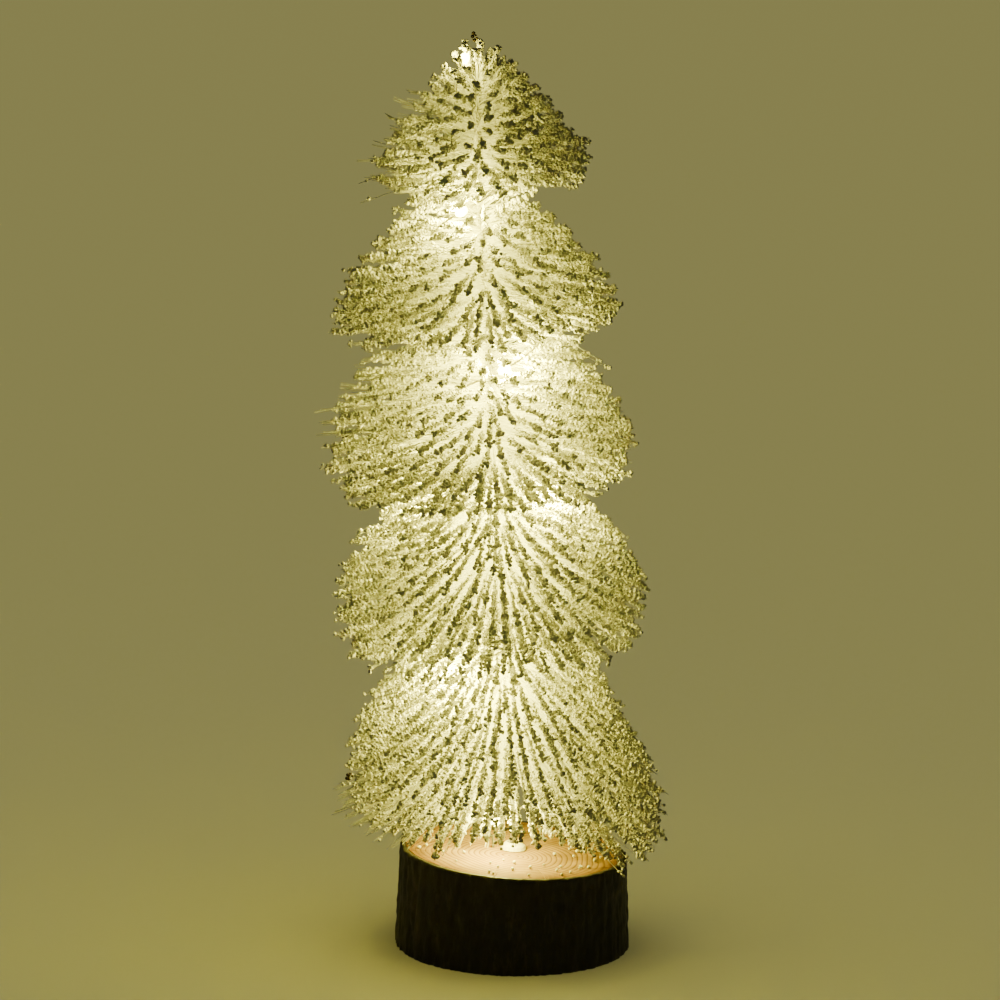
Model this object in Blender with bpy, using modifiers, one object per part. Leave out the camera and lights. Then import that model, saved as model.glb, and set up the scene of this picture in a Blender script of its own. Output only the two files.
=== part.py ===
"""Artificial tabletop tree: a flocked bottle-brush tree on a slice of log that holds its battery case.

Units are metres, +Z is up, and the origin is the centre of the log's flat underside. The front faces -Y.
The tree leans a little, so all that hangs on its stem is a child of the empty tree_axis.
"""

import math
from collections import namedtuple

import bmesh
import bpy
from mathutils import Matrix, Vector

MM = 0.001

# Clearances
GAP = 0.3 * MM  # between pieces that touch
SLIDE_GAP = 0.4 * MM  # round a piece that slides or drops out
TIER_GAP = 0.6 * MM  # between two tiers of bristles on the stem

# Log slice: a wooden core in its bark, both a little wider at the foot
LOG_HEIGHT = 34.3 * MM
LOG_TOP_SLOPE = -0.044  # the sawn top falls towards +X
CORE_FOOT_RADIUS = 39.0 * MM
CORE_TOP_RADIUS = 37.6 * MM
CORE_SIDES = 48
BARK_THICKNESS = 1.9 * MM
BARK_RIDGE = 0.4 * MM
BARK_SIDES = 96

# Cells and the case that holds them
CELL_DIAMETER = 10.5 * MM
CELL_LENGTH = 44.5 * MM
CELL_NUB_DIAMETER = 3.8 * MM
CELL_NUB_LENGTH = 0.8 * MM
CELL_SPACING_GAP = 0.8 * MM
CASE_WALL = 1.5 * MM
DIVIDER = 1.2 * MM
BOARD_BAY_WIDTH = 9.0 * MM
SCREW_BLOCK_LENGTH = 12.0 * MM
CONTACT_THICKNESS = 0.4 * MM
SPRING_LENGTH = 3.2 * MM
SPRING_WIRE = 0.6 * MM
SPRING_RADIUS = 3.0 * MM
SPRING_TURNS = 3
COVER_THICKNESS = 1.8 * MM
COVER_LEDGE = 1.6 * MM  # how far the cover laps over the rim of the bay
COVER_EAR_RADIUS = 3.6 * MM
FLANGE_LIP = 2.2 * MM  # how far the flange reaches past the case's walls
FLANGE_THICKNESS = 3.2 * MM
FLANGE_CORNER = 6.0 * MM
CASE_CORNER = 2.0 * MM
EAR_REACH = 5.6 * MM  # from the end of the case to the middle of a case screw
EAR_RADIUS = 4.2 * MM
SCREW_HEAD_DIAMETER = 4.4 * MM
SCREW_HEAD_HEIGHT = 1.1 * MM
SCREW_SHANK_DIAMETER = 1.8 * MM
SCREW_LENGTH = 9.0 * MM
SCREW_SINK = 0.25 * MM  # a screw's head lies this far inside its face
SCREW_SLOT = 0.7 * MM
WIRE_SPACE = 3.2 * MM  # over the case, for the leads
STEM_WEB = 3.2 * MM  # wood between that space and the stem's hole

# Switch and circuit board
SWITCH_BAY_DEPTH = 1.6 * MM
SWITCH_FLOOR = 1.2 * MM
SWITCH_SIZE = Vector((9.0, 4.4, 3.2)) * MM
KNOB_LENGTH = 2.6 * MM
KNOB_WIDTH = 2.0 * MM
KNOB_HEAD_WIDTH = 4.0 * MM
KNOB_TRAVEL = 3.0 * MM
KNOB_FACE_HEIGHT = 0.4 * MM  # the knob stays this far above the table
BOARD_SIZE = Vector((30.0, 7.6, 1.2)) * MM
RESISTOR_RADIUS = 0.9 * MM
RESISTOR_LENGTH = 4.2 * MM
RESISTOR_LEG_RADIUS = 0.3 * MM
RESISTOR_LEG = 2.4 * MM

# Leads and the string of lights
LEAD_DIAMETER = 0.9 * MM
SLEEVE_DIAMETER = 2.2 * MM
SLEEVE_LENGTH = 9.0 * MM
STRING_DIAMETER = 0.8 * MM
STRING_HOLE_DIAMETER = 3.0 * MM
STRING_HOLE = Vector((-7.0, 2.0, 0.0)) * MM
STRING_STEP_DEGREES = 18.0
LIGHT_RADIUS = 1.7 * MM
LIGHT_LENGTH = 5.0 * MM

# Stem: two twisted steel wires that grip the bristles
STEM_WIRE_DIAMETER = 1.6 * MM
STEM_PITCH = 24.0 * MM
STEM_STEPS = 8  # points for each turn of a wire
STEM_TOP = 277.0 * MM
STEM_LEAN = math.radians(-3.75)
STEM_HOLE_GAP = 0.4 * MM
GLUE_RADIUS = 4.6 * MM
GLUE_HEIGHT = 2.4 * MM

# Tiers of bristles. Heights are measured along the stem from the log's top. A tier's flank swells from
# its neck to its rim, fullness 0 being a straight flank. It then tucks in under the rim, rising by rise
# towards the stem. shift moves it sideways and sag lets its right side hang down.
Tier = namedtuple("Tier", "neck_radius neck_height rim_radius rim_top rim_bottom rise fullness shift sag")
TIERS = [
    Tier(6.0, 284.5, 38.0, 244.0, 235.5, 6.0, 0.1, 1.2, 0.0),
    Tier(22.0, 229.0, 50.0, 190.0, 185.0, 8.0, 0.8, -4.0, 0.0),
    Tier(33.0, 180.0, 53.5, 146.0, 130.0, 8.0, 0.6, -4.5, 0.0),
    Tier(31.5, 128.0, 55.0, 93.0, 73.0, 8.0, 0.7, -3.2, 0.0),
    Tier(35.0, 69.0, 55.0, 36.0, 13.3, -3.0, 0.7, -2.0, 21.0),
]
TIER_SIDES = 26
FLANK_STEPS = 5
RIM_ROUNDING = 4.0 * MM
UNDER_MARGIN = 6.0 * MM  # room round the next tier's neck
LAST_UNDER_RADIUS = 20.0 * MM

# Lights from the lowest up: height along the stem, turn from the front towards +X, distance from the stem
LIGHTS = [
    (14.0, -18.0, 16.0),
    (66.6, 308.0, 22.0),
    (126.5, 613.0, 28.0),
    (128.0, 770.0, 22.0),
    (174.8, 1094.0, 22.0),
    (229.0, 1417.0, 17.0),
    (279.5, 1758.0, 5.0),
]

# What follows from the sizes above
CELL_PITCH = CELL_DIAMETER + CELL_SPACING_GAP
BAY_WIDTH = CELL_PITCH + CELL_DIAMETER + 2 * SLIDE_GAP
BAY_LENGTH = CELL_LENGTH + SPRING_LENGTH + 2 * CONTACT_THICKNESS + 5 * GAP
CASE_LENGTH = BAY_LENGTH + 2 * CASE_WALL
CASE_WIDTH = BAY_WIDTH + DIVIDER + BOARD_BAY_WIDTH + 2 * CASE_WALL
BAY_FRONT = -CASE_WIDTH / 2 + CASE_WALL
BAY_BACK = BAY_FRONT + BAY_WIDTH
BAY_MIDDLE = (BAY_FRONT + BAY_BACK) / 2
BOARD_BAY_FRONT = BAY_BACK + DIVIDER
BOARD_BAY_BACK = BOARD_BAY_FRONT + BOARD_BAY_WIDTH
BOARD_BAY_MIDDLE = (BOARD_BAY_FRONT + BOARD_BAY_BACK) / 2
CELL_HEIGHT = COVER_THICKNESS + SLIDE_GAP + CELL_DIAMETER / 2
BAY_ROOF = CELL_HEIGHT + CELL_DIAMETER / 2 + SLIDE_GAP
CASE_HEIGHT = BAY_ROOF + CASE_WALL
POCKET_TOP = CASE_HEIGHT + WIRE_SPACE
FLANGE_LENGTH = CASE_LENGTH + 2 * FLANGE_LIP
FLANGE_WIDTH = CASE_WIDTH + 2 * FLANGE_LIP
EAR_X = CASE_LENGTH / 2 + EAR_REACH
COVER_LENGTH = BAY_LENGTH + 2 * COVER_LEDGE
COVER_WIDTH = BAY_WIDTH + 2 * COVER_LEDGE
COVER_EAR = Vector((-BAY_LENGTH / 2 + SCREW_BLOCK_LENGTH / 2, BOARD_BAY_MIDDLE - 1.0 * MM, 0.0))
SWITCH_X = 8.0 * MM
SWITCH_FLOOR_TOP = SWITCH_BAY_DEPTH + SWITCH_FLOOR
SWITCH_BOTTOM = SWITCH_FLOOR_TOP + GAP
BOARD_BOTTOM = SWITCH_BOTTOM + SWITCH_SIZE.z + GAP
BOARD_TOP = BOARD_BOTTOM + BOARD_SIZE.z
BOARD_X = 6.0 * MM
LEAD_RADIUS = LEAD_DIAMETER / 2
LEAD_LEVEL = CASE_HEIGHT + WIRE_SPACE / 2
LEAD_HOLE = Vector((BAY_LENGTH / 2 - 1.6 * MM, BAY_MIDDLE - 2.4 * MM, 0.0))
STRAND_RADIUS = (STEM_WIRE_DIAMETER + GAP) / 2
STEM_RADIUS = STRAND_RADIUS + STEM_WIRE_DIAMETER / 2
STEM_BOTTOM = POCKET_TOP + STEM_WEB + GAP - LOG_HEIGHT
TREE_FRAME = Matrix.Translation((0, 0, LOG_HEIGHT)) @ Matrix.Rotation(STEM_LEAN, 4, "Y")
CUT_OVER = 5.0 * MM  # how far a cutter reaches past what it cuts

TREE = "artificial_tabletop_tree"
CUTTERS = "cutters"


def clear_scene():
    for old in list(bpy.data.objects):
        bpy.data.objects.remove(old, do_unlink=True)
    for name in (TREE, CUTTERS):
        bpy.context.scene.collection.children.link(bpy.data.collections.new(name))


def material(name, colour, roughness, metallic=0.0, glow=0.0):
    made = bpy.data.materials.new(name)
    made.use_nodes = True
    shader = made.node_tree.nodes["Principled BSDF"]
    shader.inputs["Base Color"].default_value = (*colour, 1.0)
    shader.inputs["Roughness"].default_value = roughness
    shader.inputs["Metallic"].default_value = metallic
    shader.inputs["Emission Color"].default_value = (*colour, 1.0)
    shader.inputs["Emission Strength"].default_value = glow
    return made


def link(piece, finish=None, parent=None):
    """Puts a piece in the tree's collection, or with no finish among the cutters."""
    bpy.data.collections[TREE if finish else CUTTERS].objects.link(piece)
    if finish:
        piece.data.materials.clear()
        piece.data.materials.append(finish)
    else:
        piece.hide_render = True
        piece.display_type = "WIRE"
    piece.parent = parent
    return piece


def from_bmesh(name, shape, finish=None, parent=None):
    mesh = bpy.data.meshes.new(name)
    shape.to_mesh(mesh)
    shape.free()
    return link(bpy.data.objects.new(name, mesh), finish, parent)


def as_mesh(made):
    """Swaps a curve or a piece with modifiers for its evaluated mesh, with loose caps welded."""
    name = made.name
    bpy.context.view_layer.update()
    evaluated = made.evaluated_get(bpy.context.evaluated_depsgraph_get())
    mesh = bpy.data.meshes.new_from_object(evaluated)
    place = made.matrix_local.copy()
    parent = made.parent
    home = made.users_collection[0]
    bpy.data.objects.remove(made, do_unlink=True)
    shape = bmesh.new()
    shape.from_mesh(mesh)
    bmesh.ops.remove_doubles(shape, verts=shape.verts, dist=0.00001)
    bmesh.ops.recalc_face_normals(shape, faces=shape.faces)
    shape.to_mesh(mesh)
    shape.free()
    piece = bpy.data.objects.new(name, mesh)
    home.objects.link(piece)
    piece.parent = parent
    piece.matrix_local = place
    if home.name == CUTTERS:
        piece.hide_render = True
        piece.display_type = "WIRE"
    return piece


def cut(piece, cutter, operation="DIFFERENCE"):
    modifier = piece.modifiers.new(cutter.name, "BOOLEAN")
    modifier.operation = operation
    modifier.solver = "EXACT"
    modifier.object = cutter


def box(name, low, high, finish=None, corner=0.0, parent=None):
    """A block between two corners, its upright edges rounded by corner."""
    shape = bmesh.new()
    bmesh.ops.create_cube(shape, size=1.0)
    low = Vector(low)
    high = Vector(high)
    bmesh.ops.scale(shape, verts=shape.verts, vec=high - low)
    bmesh.ops.translate(shape, verts=shape.verts, vec=(low + high) / 2)
    if corner:
        upright = [e for e in shape.edges if abs(e.verts[0].co.z - e.verts[1].co.z) > GAP]
        bmesh.ops.bevel(shape, geom=upright, offset=corner, segments=3, profile=0.5, affect="EDGES")
    return from_bmesh(name, shape, finish, parent)


def rod(name, centre, radius, low, high, finish=None, sides=20, parent=None):
    """An upright cylinder."""
    shape = bmesh.new()
    bmesh.ops.create_cone(
        shape, cap_ends=True, segments=sides, radius1=radius, radius2=radius, depth=high - low
    )
    bmesh.ops.translate(shape, verts=shape.verts, vec=(centre[0], centre[1], (low + high) / 2))
    return from_bmesh(name, shape, finish, parent)


def turned(name, profile, sides, finish=None, parent=None, closed=False):
    """A solid turned round Z from (radius, height) points that run down its outer side."""
    mesh = bpy.data.meshes.new(name)
    edges = [(i, i + 1) for i in range(len(profile) - 1)]
    if closed:
        edges.append((len(profile) - 1, 0))
    mesh.from_pydata([(radius, 0.0, height) for radius, height in profile], edges, [])
    piece = link(bpy.data.objects.new(name, mesh), finish, parent)
    screw = piece.modifiers.new("turn", "SCREW")
    screw.steps = sides
    screw.render_steps = sides
    screw.use_merge_vertices = True
    screw.merge_threshold = 0.00001
    return piece


def tube(name, points, radius, finish=None, parent=None, resolution=1):
    """A round wire along points, as a mesh with closed ends."""
    curve = bpy.data.curves.new(name, "CURVE")
    curve.dimensions = "3D"
    curve.bevel_depth = radius
    curve.bevel_resolution = resolution
    curve.use_fill_caps = True
    spline = curve.splines.new("POLY")
    spline.points.add(len(points) - 1)
    for place, point in zip(spline.points, points):
        place.co = (*point, 1.0)
    return as_mesh(link(bpy.data.objects.new(name, curve), finish, parent))


def smooth_path(stations, steps):
    """Points on one smooth curve through the stations, with steps of them for each span."""
    stations = [Vector(s) for s in stations]
    padded = [2 * stations[0] - stations[1], *stations, 2 * stations[-1] - stations[-2]]
    path = []
    for i in range(1, len(padded) - 2):
        before, start, end, after = padded[i - 1 : i + 3]
        for step in range(steps):
            t = step / steps
            lead = (end - before) / 2
            leave = (after - start) / 2
            path.append(
                start * (2 * t**3 - 3 * t**2 + 1)
                + end * (3 * t**2 - 2 * t**3)
                + lead * (t**3 - 2 * t**2 + t)
                + leave * (t**3 - t**2)
            )
    path.append(stations[-1])
    return path


def smooth_shade(piece):
    piece.data.shade_smooth()
    piece.data.set_sharp_from_angle(angle=math.radians(35))


# Log


def log_outline(angle):
    """How far a grown log strays from a true circle at this angle."""
    return 1.0 + 0.010 * math.cos(2 * angle + 0.7) + 0.006 * math.cos(3 * angle - 1.1)


def log_solid(name, growth, low, high, sides, ridge=0.0, finish=None):
    """The log's shape, grown outwards, between two heights. At the log's own height its top slopes."""
    taper = (CORE_TOP_RADIUS - CORE_FOOT_RADIUS) / LOG_HEIGHT
    shape = bmesh.new()
    bmesh.ops.create_cone(
        shape,
        cap_ends=True,
        segments=sides,
        radius1=CORE_FOOT_RADIUS + growth + taper * low,
        radius2=CORE_FOOT_RADIUS + growth + taper * high,
        depth=high - low,
    )
    bmesh.ops.translate(shape, verts=shape.verts, vec=(0, 0, (low + high) / 2))
    for vert in shape.verts:
        angle = math.atan2(vert.co.y, vert.co.x)
        radius = vert.co.xy.length
        bump = ridge * (math.sin(17 * angle) + math.sin(29 * angle + 2.0))
        vert.co.xy *= log_outline(angle) * (radius + bump) / radius
    if high == LOG_HEIGHT:
        for vert in shape.verts:
            if vert.co.z > LOG_HEIGHT / 2:
                rise = LOG_TOP_SLOPE * vert.co.x
                radius = vert.co.xy.length
                vert.co.xy *= (radius + taper * rise) / radius
                vert.co.z += rise
    return from_bmesh(name, shape, finish)


def make_log(wood, bark):
    core = log_solid("log_core", 0.0, 0.0, LOG_HEIGHT, CORE_SIDES, finish=wood)
    half = Vector((CASE_LENGTH / 2 + SLIDE_GAP, CASE_WIDTH / 2 + SLIDE_GAP, 0))
    floor = Vector((0, 0, -CUT_OVER))
    cut(core, box("cut_case_pocket", floor - half, half + Vector((0, 0, POCKET_TOP)), corner=CASE_CORNER))
    half = Vector((FLANGE_LENGTH / 2 + SLIDE_GAP, FLANGE_WIDTH / 2 + SLIDE_GAP, 0))
    flange_top = FLANGE_THICKNESS + GAP
    cut(core, box("cut_flange_pocket", floor - half, half + Vector((0, 0, flange_top)), corner=FLANGE_CORNER))
    for side in (-1, 1):
        ear = (side * EAR_X, 0)
        cut(core, rod(f"cut_ear_pocket{side:+d}", ear, EAR_RADIUS + SLIDE_GAP, -CUT_OVER, flange_top))
        pilot = SCREW_SHANK_DIAMETER / 2 + GAP
        depth = SCREW_SINK + SCREW_LENGTH + GAP
        cut(core, rod(f"cut_ear_pilot{side:+d}", ear, pilot, 0.0, depth, sides=10))
    top = LOG_HEIGHT + CUT_OVER
    cut(core, rod("cut_string_hole", STRING_HOLE, STRING_HOLE_DIAMETER / 2, POCKET_TOP - MM, top, sides=12))
    smooth_shade(core)

    skin = log_solid("log_bark", GAP + BARK_THICKNESS, 0.0, LOG_HEIGHT, BARK_SIDES, BARK_RIDGE, bark)
    cut(skin, log_solid("cut_bark", GAP, -CUT_OVER, LOG_HEIGHT + CUT_OVER, CORE_SIDES))
    return core


# Battery case


def make_screw(name, centre, finish):
    """A pan-head screw, point up, with a slot across its head."""
    head = SCREW_HEAD_DIAMETER / 2
    shank = SCREW_SHANK_DIAMETER / 2
    neck = SCREW_SINK + SCREW_HEAD_HEIGHT
    tip = SCREW_SINK + SCREW_LENGTH
    profile = [
        (0, tip),
        (shank, tip - 2 * shank),
        (shank, neck),
        (head, neck),
        (head, SCREW_SINK + SCREW_HEAD_HEIGHT / 3),
        (head * 0.8, SCREW_SINK),
        (0, SCREW_SINK),
    ]
    screw = turned(name, profile, 16, finish)
    screw.location = (centre[0], centre[1], 0)
    half = Vector((head, SCREW_SLOT / 2, SCREW_HEAD_HEIGHT / 2))
    slot = box(f"cut_{name}", -half - Vector((MM, 0, 0)), half + Vector((MM, 0, 0)))
    slot.location = (centre[0], centre[1], SCREW_SINK)
    cut(screw, slot)
    return screw


def make_case(plastic, steel):
    half = Vector((CASE_LENGTH / 2, CASE_WIDTH / 2, 0))
    case = box("battery_tray", -half, half + Vector((0, 0, CASE_HEIGHT)), plastic, CASE_CORNER)
    half = Vector((FLANGE_LENGTH / 2, FLANGE_WIDTH / 2, 0))
    flange = box("cut_flange", -half, half + Vector((0, 0, FLANGE_THICKNESS)), corner=FLANGE_CORNER)
    cut(case, flange, "UNION")
    for side in (-1, 1):
        ear = rod(f"cut_ear{side:+d}", (side * EAR_X, 0), EAR_RADIUS, 0.0, FLANGE_THICKNESS)
        cut(case, ear, "UNION")
    bay = box(
        "cut_cell_bay",
        (-BAY_LENGTH / 2, BAY_FRONT, -CUT_OVER),
        (BAY_LENGTH / 2, BAY_BACK, BAY_ROOF),
    )
    cut(case, bay)
    room = COVER_LEDGE + GAP
    seat_top = COVER_THICKNESS + GAP
    seat = box(
        "cut_cover_seat",
        (-BAY_LENGTH / 2 - room, BAY_FRONT - room, -CUT_OVER),
        (BAY_LENGTH / 2 + room, BAY_BACK + room, seat_top),
        corner=CASE_CORNER,
    )
    cut(case, seat)
    cut(case, rod("cut_cover_ear_seat", COVER_EAR, COVER_EAR_RADIUS + GAP, -CUT_OVER, seat_top))
    screw_room = SCREW_SHANK_DIAMETER / 2 + GAP
    screw_top = SCREW_SINK + SCREW_LENGTH + GAP
    cut(case, rod("cut_cover_screw_hole", COVER_EAR, screw_room, 0.0, screw_top, sides=10))
    board_bay = box(
        "cut_board_bay",
        (-BAY_LENGTH / 2 + SCREW_BLOCK_LENGTH, BOARD_BAY_FRONT, SWITCH_FLOOR_TOP),
        (BAY_LENGTH / 2, BOARD_BAY_BACK, CASE_HEIGHT + CUT_OVER),
    )
    cut(case, board_bay)
    switch_bay = box(
        "cut_switch_bay",
        (SWITCH_X - KNOB_TRAVEL * 2.2, BOARD_BAY_MIDDLE - KNOB_HEAD_WIDTH * 0.7, -CUT_OVER),
        (SWITCH_X + KNOB_TRAVEL * 2.2, BOARD_BAY_MIDDLE + KNOB_HEAD_WIDTH * 0.7, SWITCH_BAY_DEPTH),
    )
    cut(case, switch_bay)
    half = Vector(((KNOB_TRAVEL + KNOB_LENGTH) / 2 + SLIDE_GAP, KNOB_WIDTH / 2 + SLIDE_GAP, CUT_OVER))
    middle = Vector((SWITCH_X, BOARD_BAY_MIDDLE, 0))
    cut(case, box("cut_switch_slot", middle - half, middle + half))
    end = BAY_LENGTH / 2
    notch = box(
        "cut_lead_notch",
        (end - 3 * MM, BAY_BACK - MM, BAY_ROOF - 2.2 * MM),
        (end, BOARD_BAY_FRONT + MM, BAY_ROOF),
    )
    cut(case, notch)
    hole = box(
        "cut_lead_hole",
        (LEAD_HOLE.x - LEAD_DIAMETER, LEAD_HOLE.y - LEAD_DIAMETER, BAY_ROOF - MM),
        (LEAD_HOLE.x + LEAD_DIAMETER, LEAD_HOLE.y + 2.5 * LEAD_DIAMETER, CASE_HEIGHT + MM),
    )
    cut(case, hole)
    for index, side in enumerate((-1, 1), 1):
        ear = (side * EAR_X, 0)
        head_room = SCREW_HEAD_DIAMETER / 2 + GAP
        head_top = SCREW_SINK + SCREW_HEAD_HEIGHT + GAP
        cut(case, rod(f"cut_case_screw_head_{index}", ear, head_room, -CUT_OVER, head_top, sides=16))
        cut(case, rod(f"cut_case_screw_{index}", ear, screw_room, 0.0, FLANGE_THICKNESS + MM, sides=10))
        make_screw(f"case_screw_{index}", ear, steel)
    return case


def make_cover(plastic, steel):
    middle = Vector((0, BAY_MIDDLE, 0))
    half = Vector((COVER_LENGTH / 2, COVER_WIDTH / 2, 0))
    cover = box(
        "battery_cover", middle - half, middle + half + Vector((0, 0, COVER_THICKNESS)), plastic, CASE_CORNER
    )
    cut(cover, rod("cut_cover_ear", COVER_EAR, COVER_EAR_RADIUS, 0.0, COVER_THICKNESS), "UNION")
    head_room = SCREW_HEAD_DIAMETER / 2 + GAP
    head_top = SCREW_SINK + SCREW_HEAD_HEIGHT + GAP / 2
    cut(cover, rod("cut_cover_screw_head", COVER_EAR, head_room, -CUT_OVER, head_top, sides=16))
    screw_room = SCREW_SHANK_DIAMETER / 2 + GAP
    cut(cover, rod("cut_cover_screw", COVER_EAR, screw_room, 0.0, COVER_THICKNESS + MM, sides=10))
    make_screw("cover_screw", COVER_EAR, steel)
    return cover


def cell_rows():
    """For each cell: its number, its place across the case and the end its plus pole faces."""
    return ((1, BAY_MIDDLE - CELL_PITCH / 2, -1), (2, BAY_MIDDLE + CELL_PITCH / 2, 1))


def make_cells(jacket):
    for number, across, plus in cell_rows():
        radius = CELL_DIAMETER / 2
        nub = CELL_NUB_DIAMETER / 2
        profile = [
            (0, CELL_LENGTH),
            (nub, CELL_LENGTH),
            (nub, CELL_LENGTH - CELL_NUB_LENGTH),
            (radius - 0.6 * MM, CELL_LENGTH - CELL_NUB_LENGTH),
            (radius, CELL_LENGTH - CELL_NUB_LENGTH - 0.6 * MM),
            (radius, 0.4 * MM),
            (radius - 0.4 * MM, 0),
            (0, 0),
        ]
        cell = turned(f"battery_{number}", profile, 20, jacket)
        nub_tip = BAY_LENGTH / 2 - 2 * GAP - CONTACT_THICKNESS
        cell.location = (plus * (nub_tip - CELL_LENGTH), across, CELL_HEIGHT)
        cell.rotation_euler = (0, plus * math.pi / 2, 0)
        smooth_shade(cell)


def make_contacts(steel):
    bottom = COVER_THICKNESS + 2 * MM
    outer = BAY_LENGTH / 2 - GAP
    inner = outer - CONTACT_THICKNESS
    top = BAY_ROOF - GAP
    side = CELL_DIAMETER / 2 - MM
    minus_row = cell_rows()[0][1]
    plus_row = cell_rows()[1][1]
    box("contact_plate_negative", (inner, minus_row - side, bottom), (outer, minus_row + side, top), steel)
    box("contact_plate_positive", (inner, plus_row - side, bottom), (outer, plus_row + side, top), steel)
    box("contact_bridge_plate", (-outer, minus_row - side, bottom), (-inner, plus_row + side, top), steel)
    for number, across, plus in cell_rows():
        start = -plus * (inner - GAP - SPRING_WIRE / 2)
        rise = plus * (SPRING_LENGTH - SPRING_WIRE)
        coil = []
        steps = 10 * SPRING_TURNS
        for step in range(steps + 1):
            share = step / steps
            angle = 2 * math.pi * SPRING_TURNS * share
            radius = SPRING_RADIUS * (1 - 0.35 * share)
            coil.append(
                (
                    start + rise * share,
                    across + radius * math.cos(angle),
                    CELL_HEIGHT + radius * math.sin(angle),
                )
            )
        smooth_shade(tube(f"contact_spring_{number}", coil, SPRING_WIRE / 2, steel))


# Switch, board and leads


def make_switch(black, white, green, blue):
    low = Vector((SWITCH_X, BOARD_BAY_MIDDLE, SWITCH_BOTTOM)) - Vector((*SWITCH_SIZE.xy, 0)) / 2
    housing = box("switch_housing", low, low + SWITCH_SIZE, black)
    half = Vector(((KNOB_TRAVEL + KNOB_LENGTH) / 2 + SLIDE_GAP, KNOB_WIDTH / 2 + SLIDE_GAP, 0))
    middle = Vector((SWITCH_X, BOARD_BAY_MIDDLE, 0))
    pit_top = SWITCH_BOTTOM + SWITCH_SIZE.z / 2
    cut(housing, box("cut_switch_pit", middle - half, middle + half + Vector((0, 0, pit_top))))

    knob_middle = middle - Vector((KNOB_TRAVEL / 2, 0, 0))
    half = Vector((KNOB_LENGTH / 2, KNOB_WIDTH / 2, 0))
    foot = Vector((0, 0, KNOB_FACE_HEIGHT))
    knob = box("switch_knob", knob_middle - half + foot, knob_middle + half + Vector((0, 0, pit_top - GAP)), white)
    half = Vector((KNOB_LENGTH / 2, KNOB_HEAD_WIDTH / 2, 0))
    head_top = Vector((0, 0, SWITCH_BAY_DEPTH - GAP))
    cut(knob, box("cut_knob_head", knob_middle - half + foot, knob_middle + half + head_top), "UNION")

    half = Vector((*BOARD_SIZE.xy, 0)) / 2
    middle = Vector((BOARD_X, BOARD_BAY_MIDDLE, BOARD_BOTTOM))
    box("circuit_board", middle - half, middle + half + Vector((0, 0, BOARD_SIZE.z)), green)
    length = RESISTOR_LENGTH / 2
    waist = RESISTOR_RADIUS * 0.8
    profile = [
        (0, length + RESISTOR_LEG),
        (RESISTOR_LEG_RADIUS, length + RESISTOR_LEG),
        (RESISTOR_LEG_RADIUS, length),
        (RESISTOR_RADIUS, length - 0.2 * MM),
        (RESISTOR_RADIUS, length - 1.0 * MM),
        (waist, length - 1.3 * MM),
        (waist, 1.3 * MM - length),
        (RESISTOR_RADIUS, 1.0 * MM - length),
        (RESISTOR_RADIUS, 0.2 * MM - length),
        (RESISTOR_LEG_RADIUS, -length),
        (RESISTOR_LEG_RADIUS, -length - RESISTOR_LEG),
        (0, -length - RESISTOR_LEG),
    ]
    resistor = turned("resistor", profile, 12, blue)
    resistor.location = (BOARD_X - 7 * MM, BOARD_BAY_MIDDLE, BOARD_TOP + GAP + RESISTOR_RADIUS)
    resistor.rotation_euler = (0, math.pi / 2, 0)
    smooth_shade(resistor)


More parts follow.
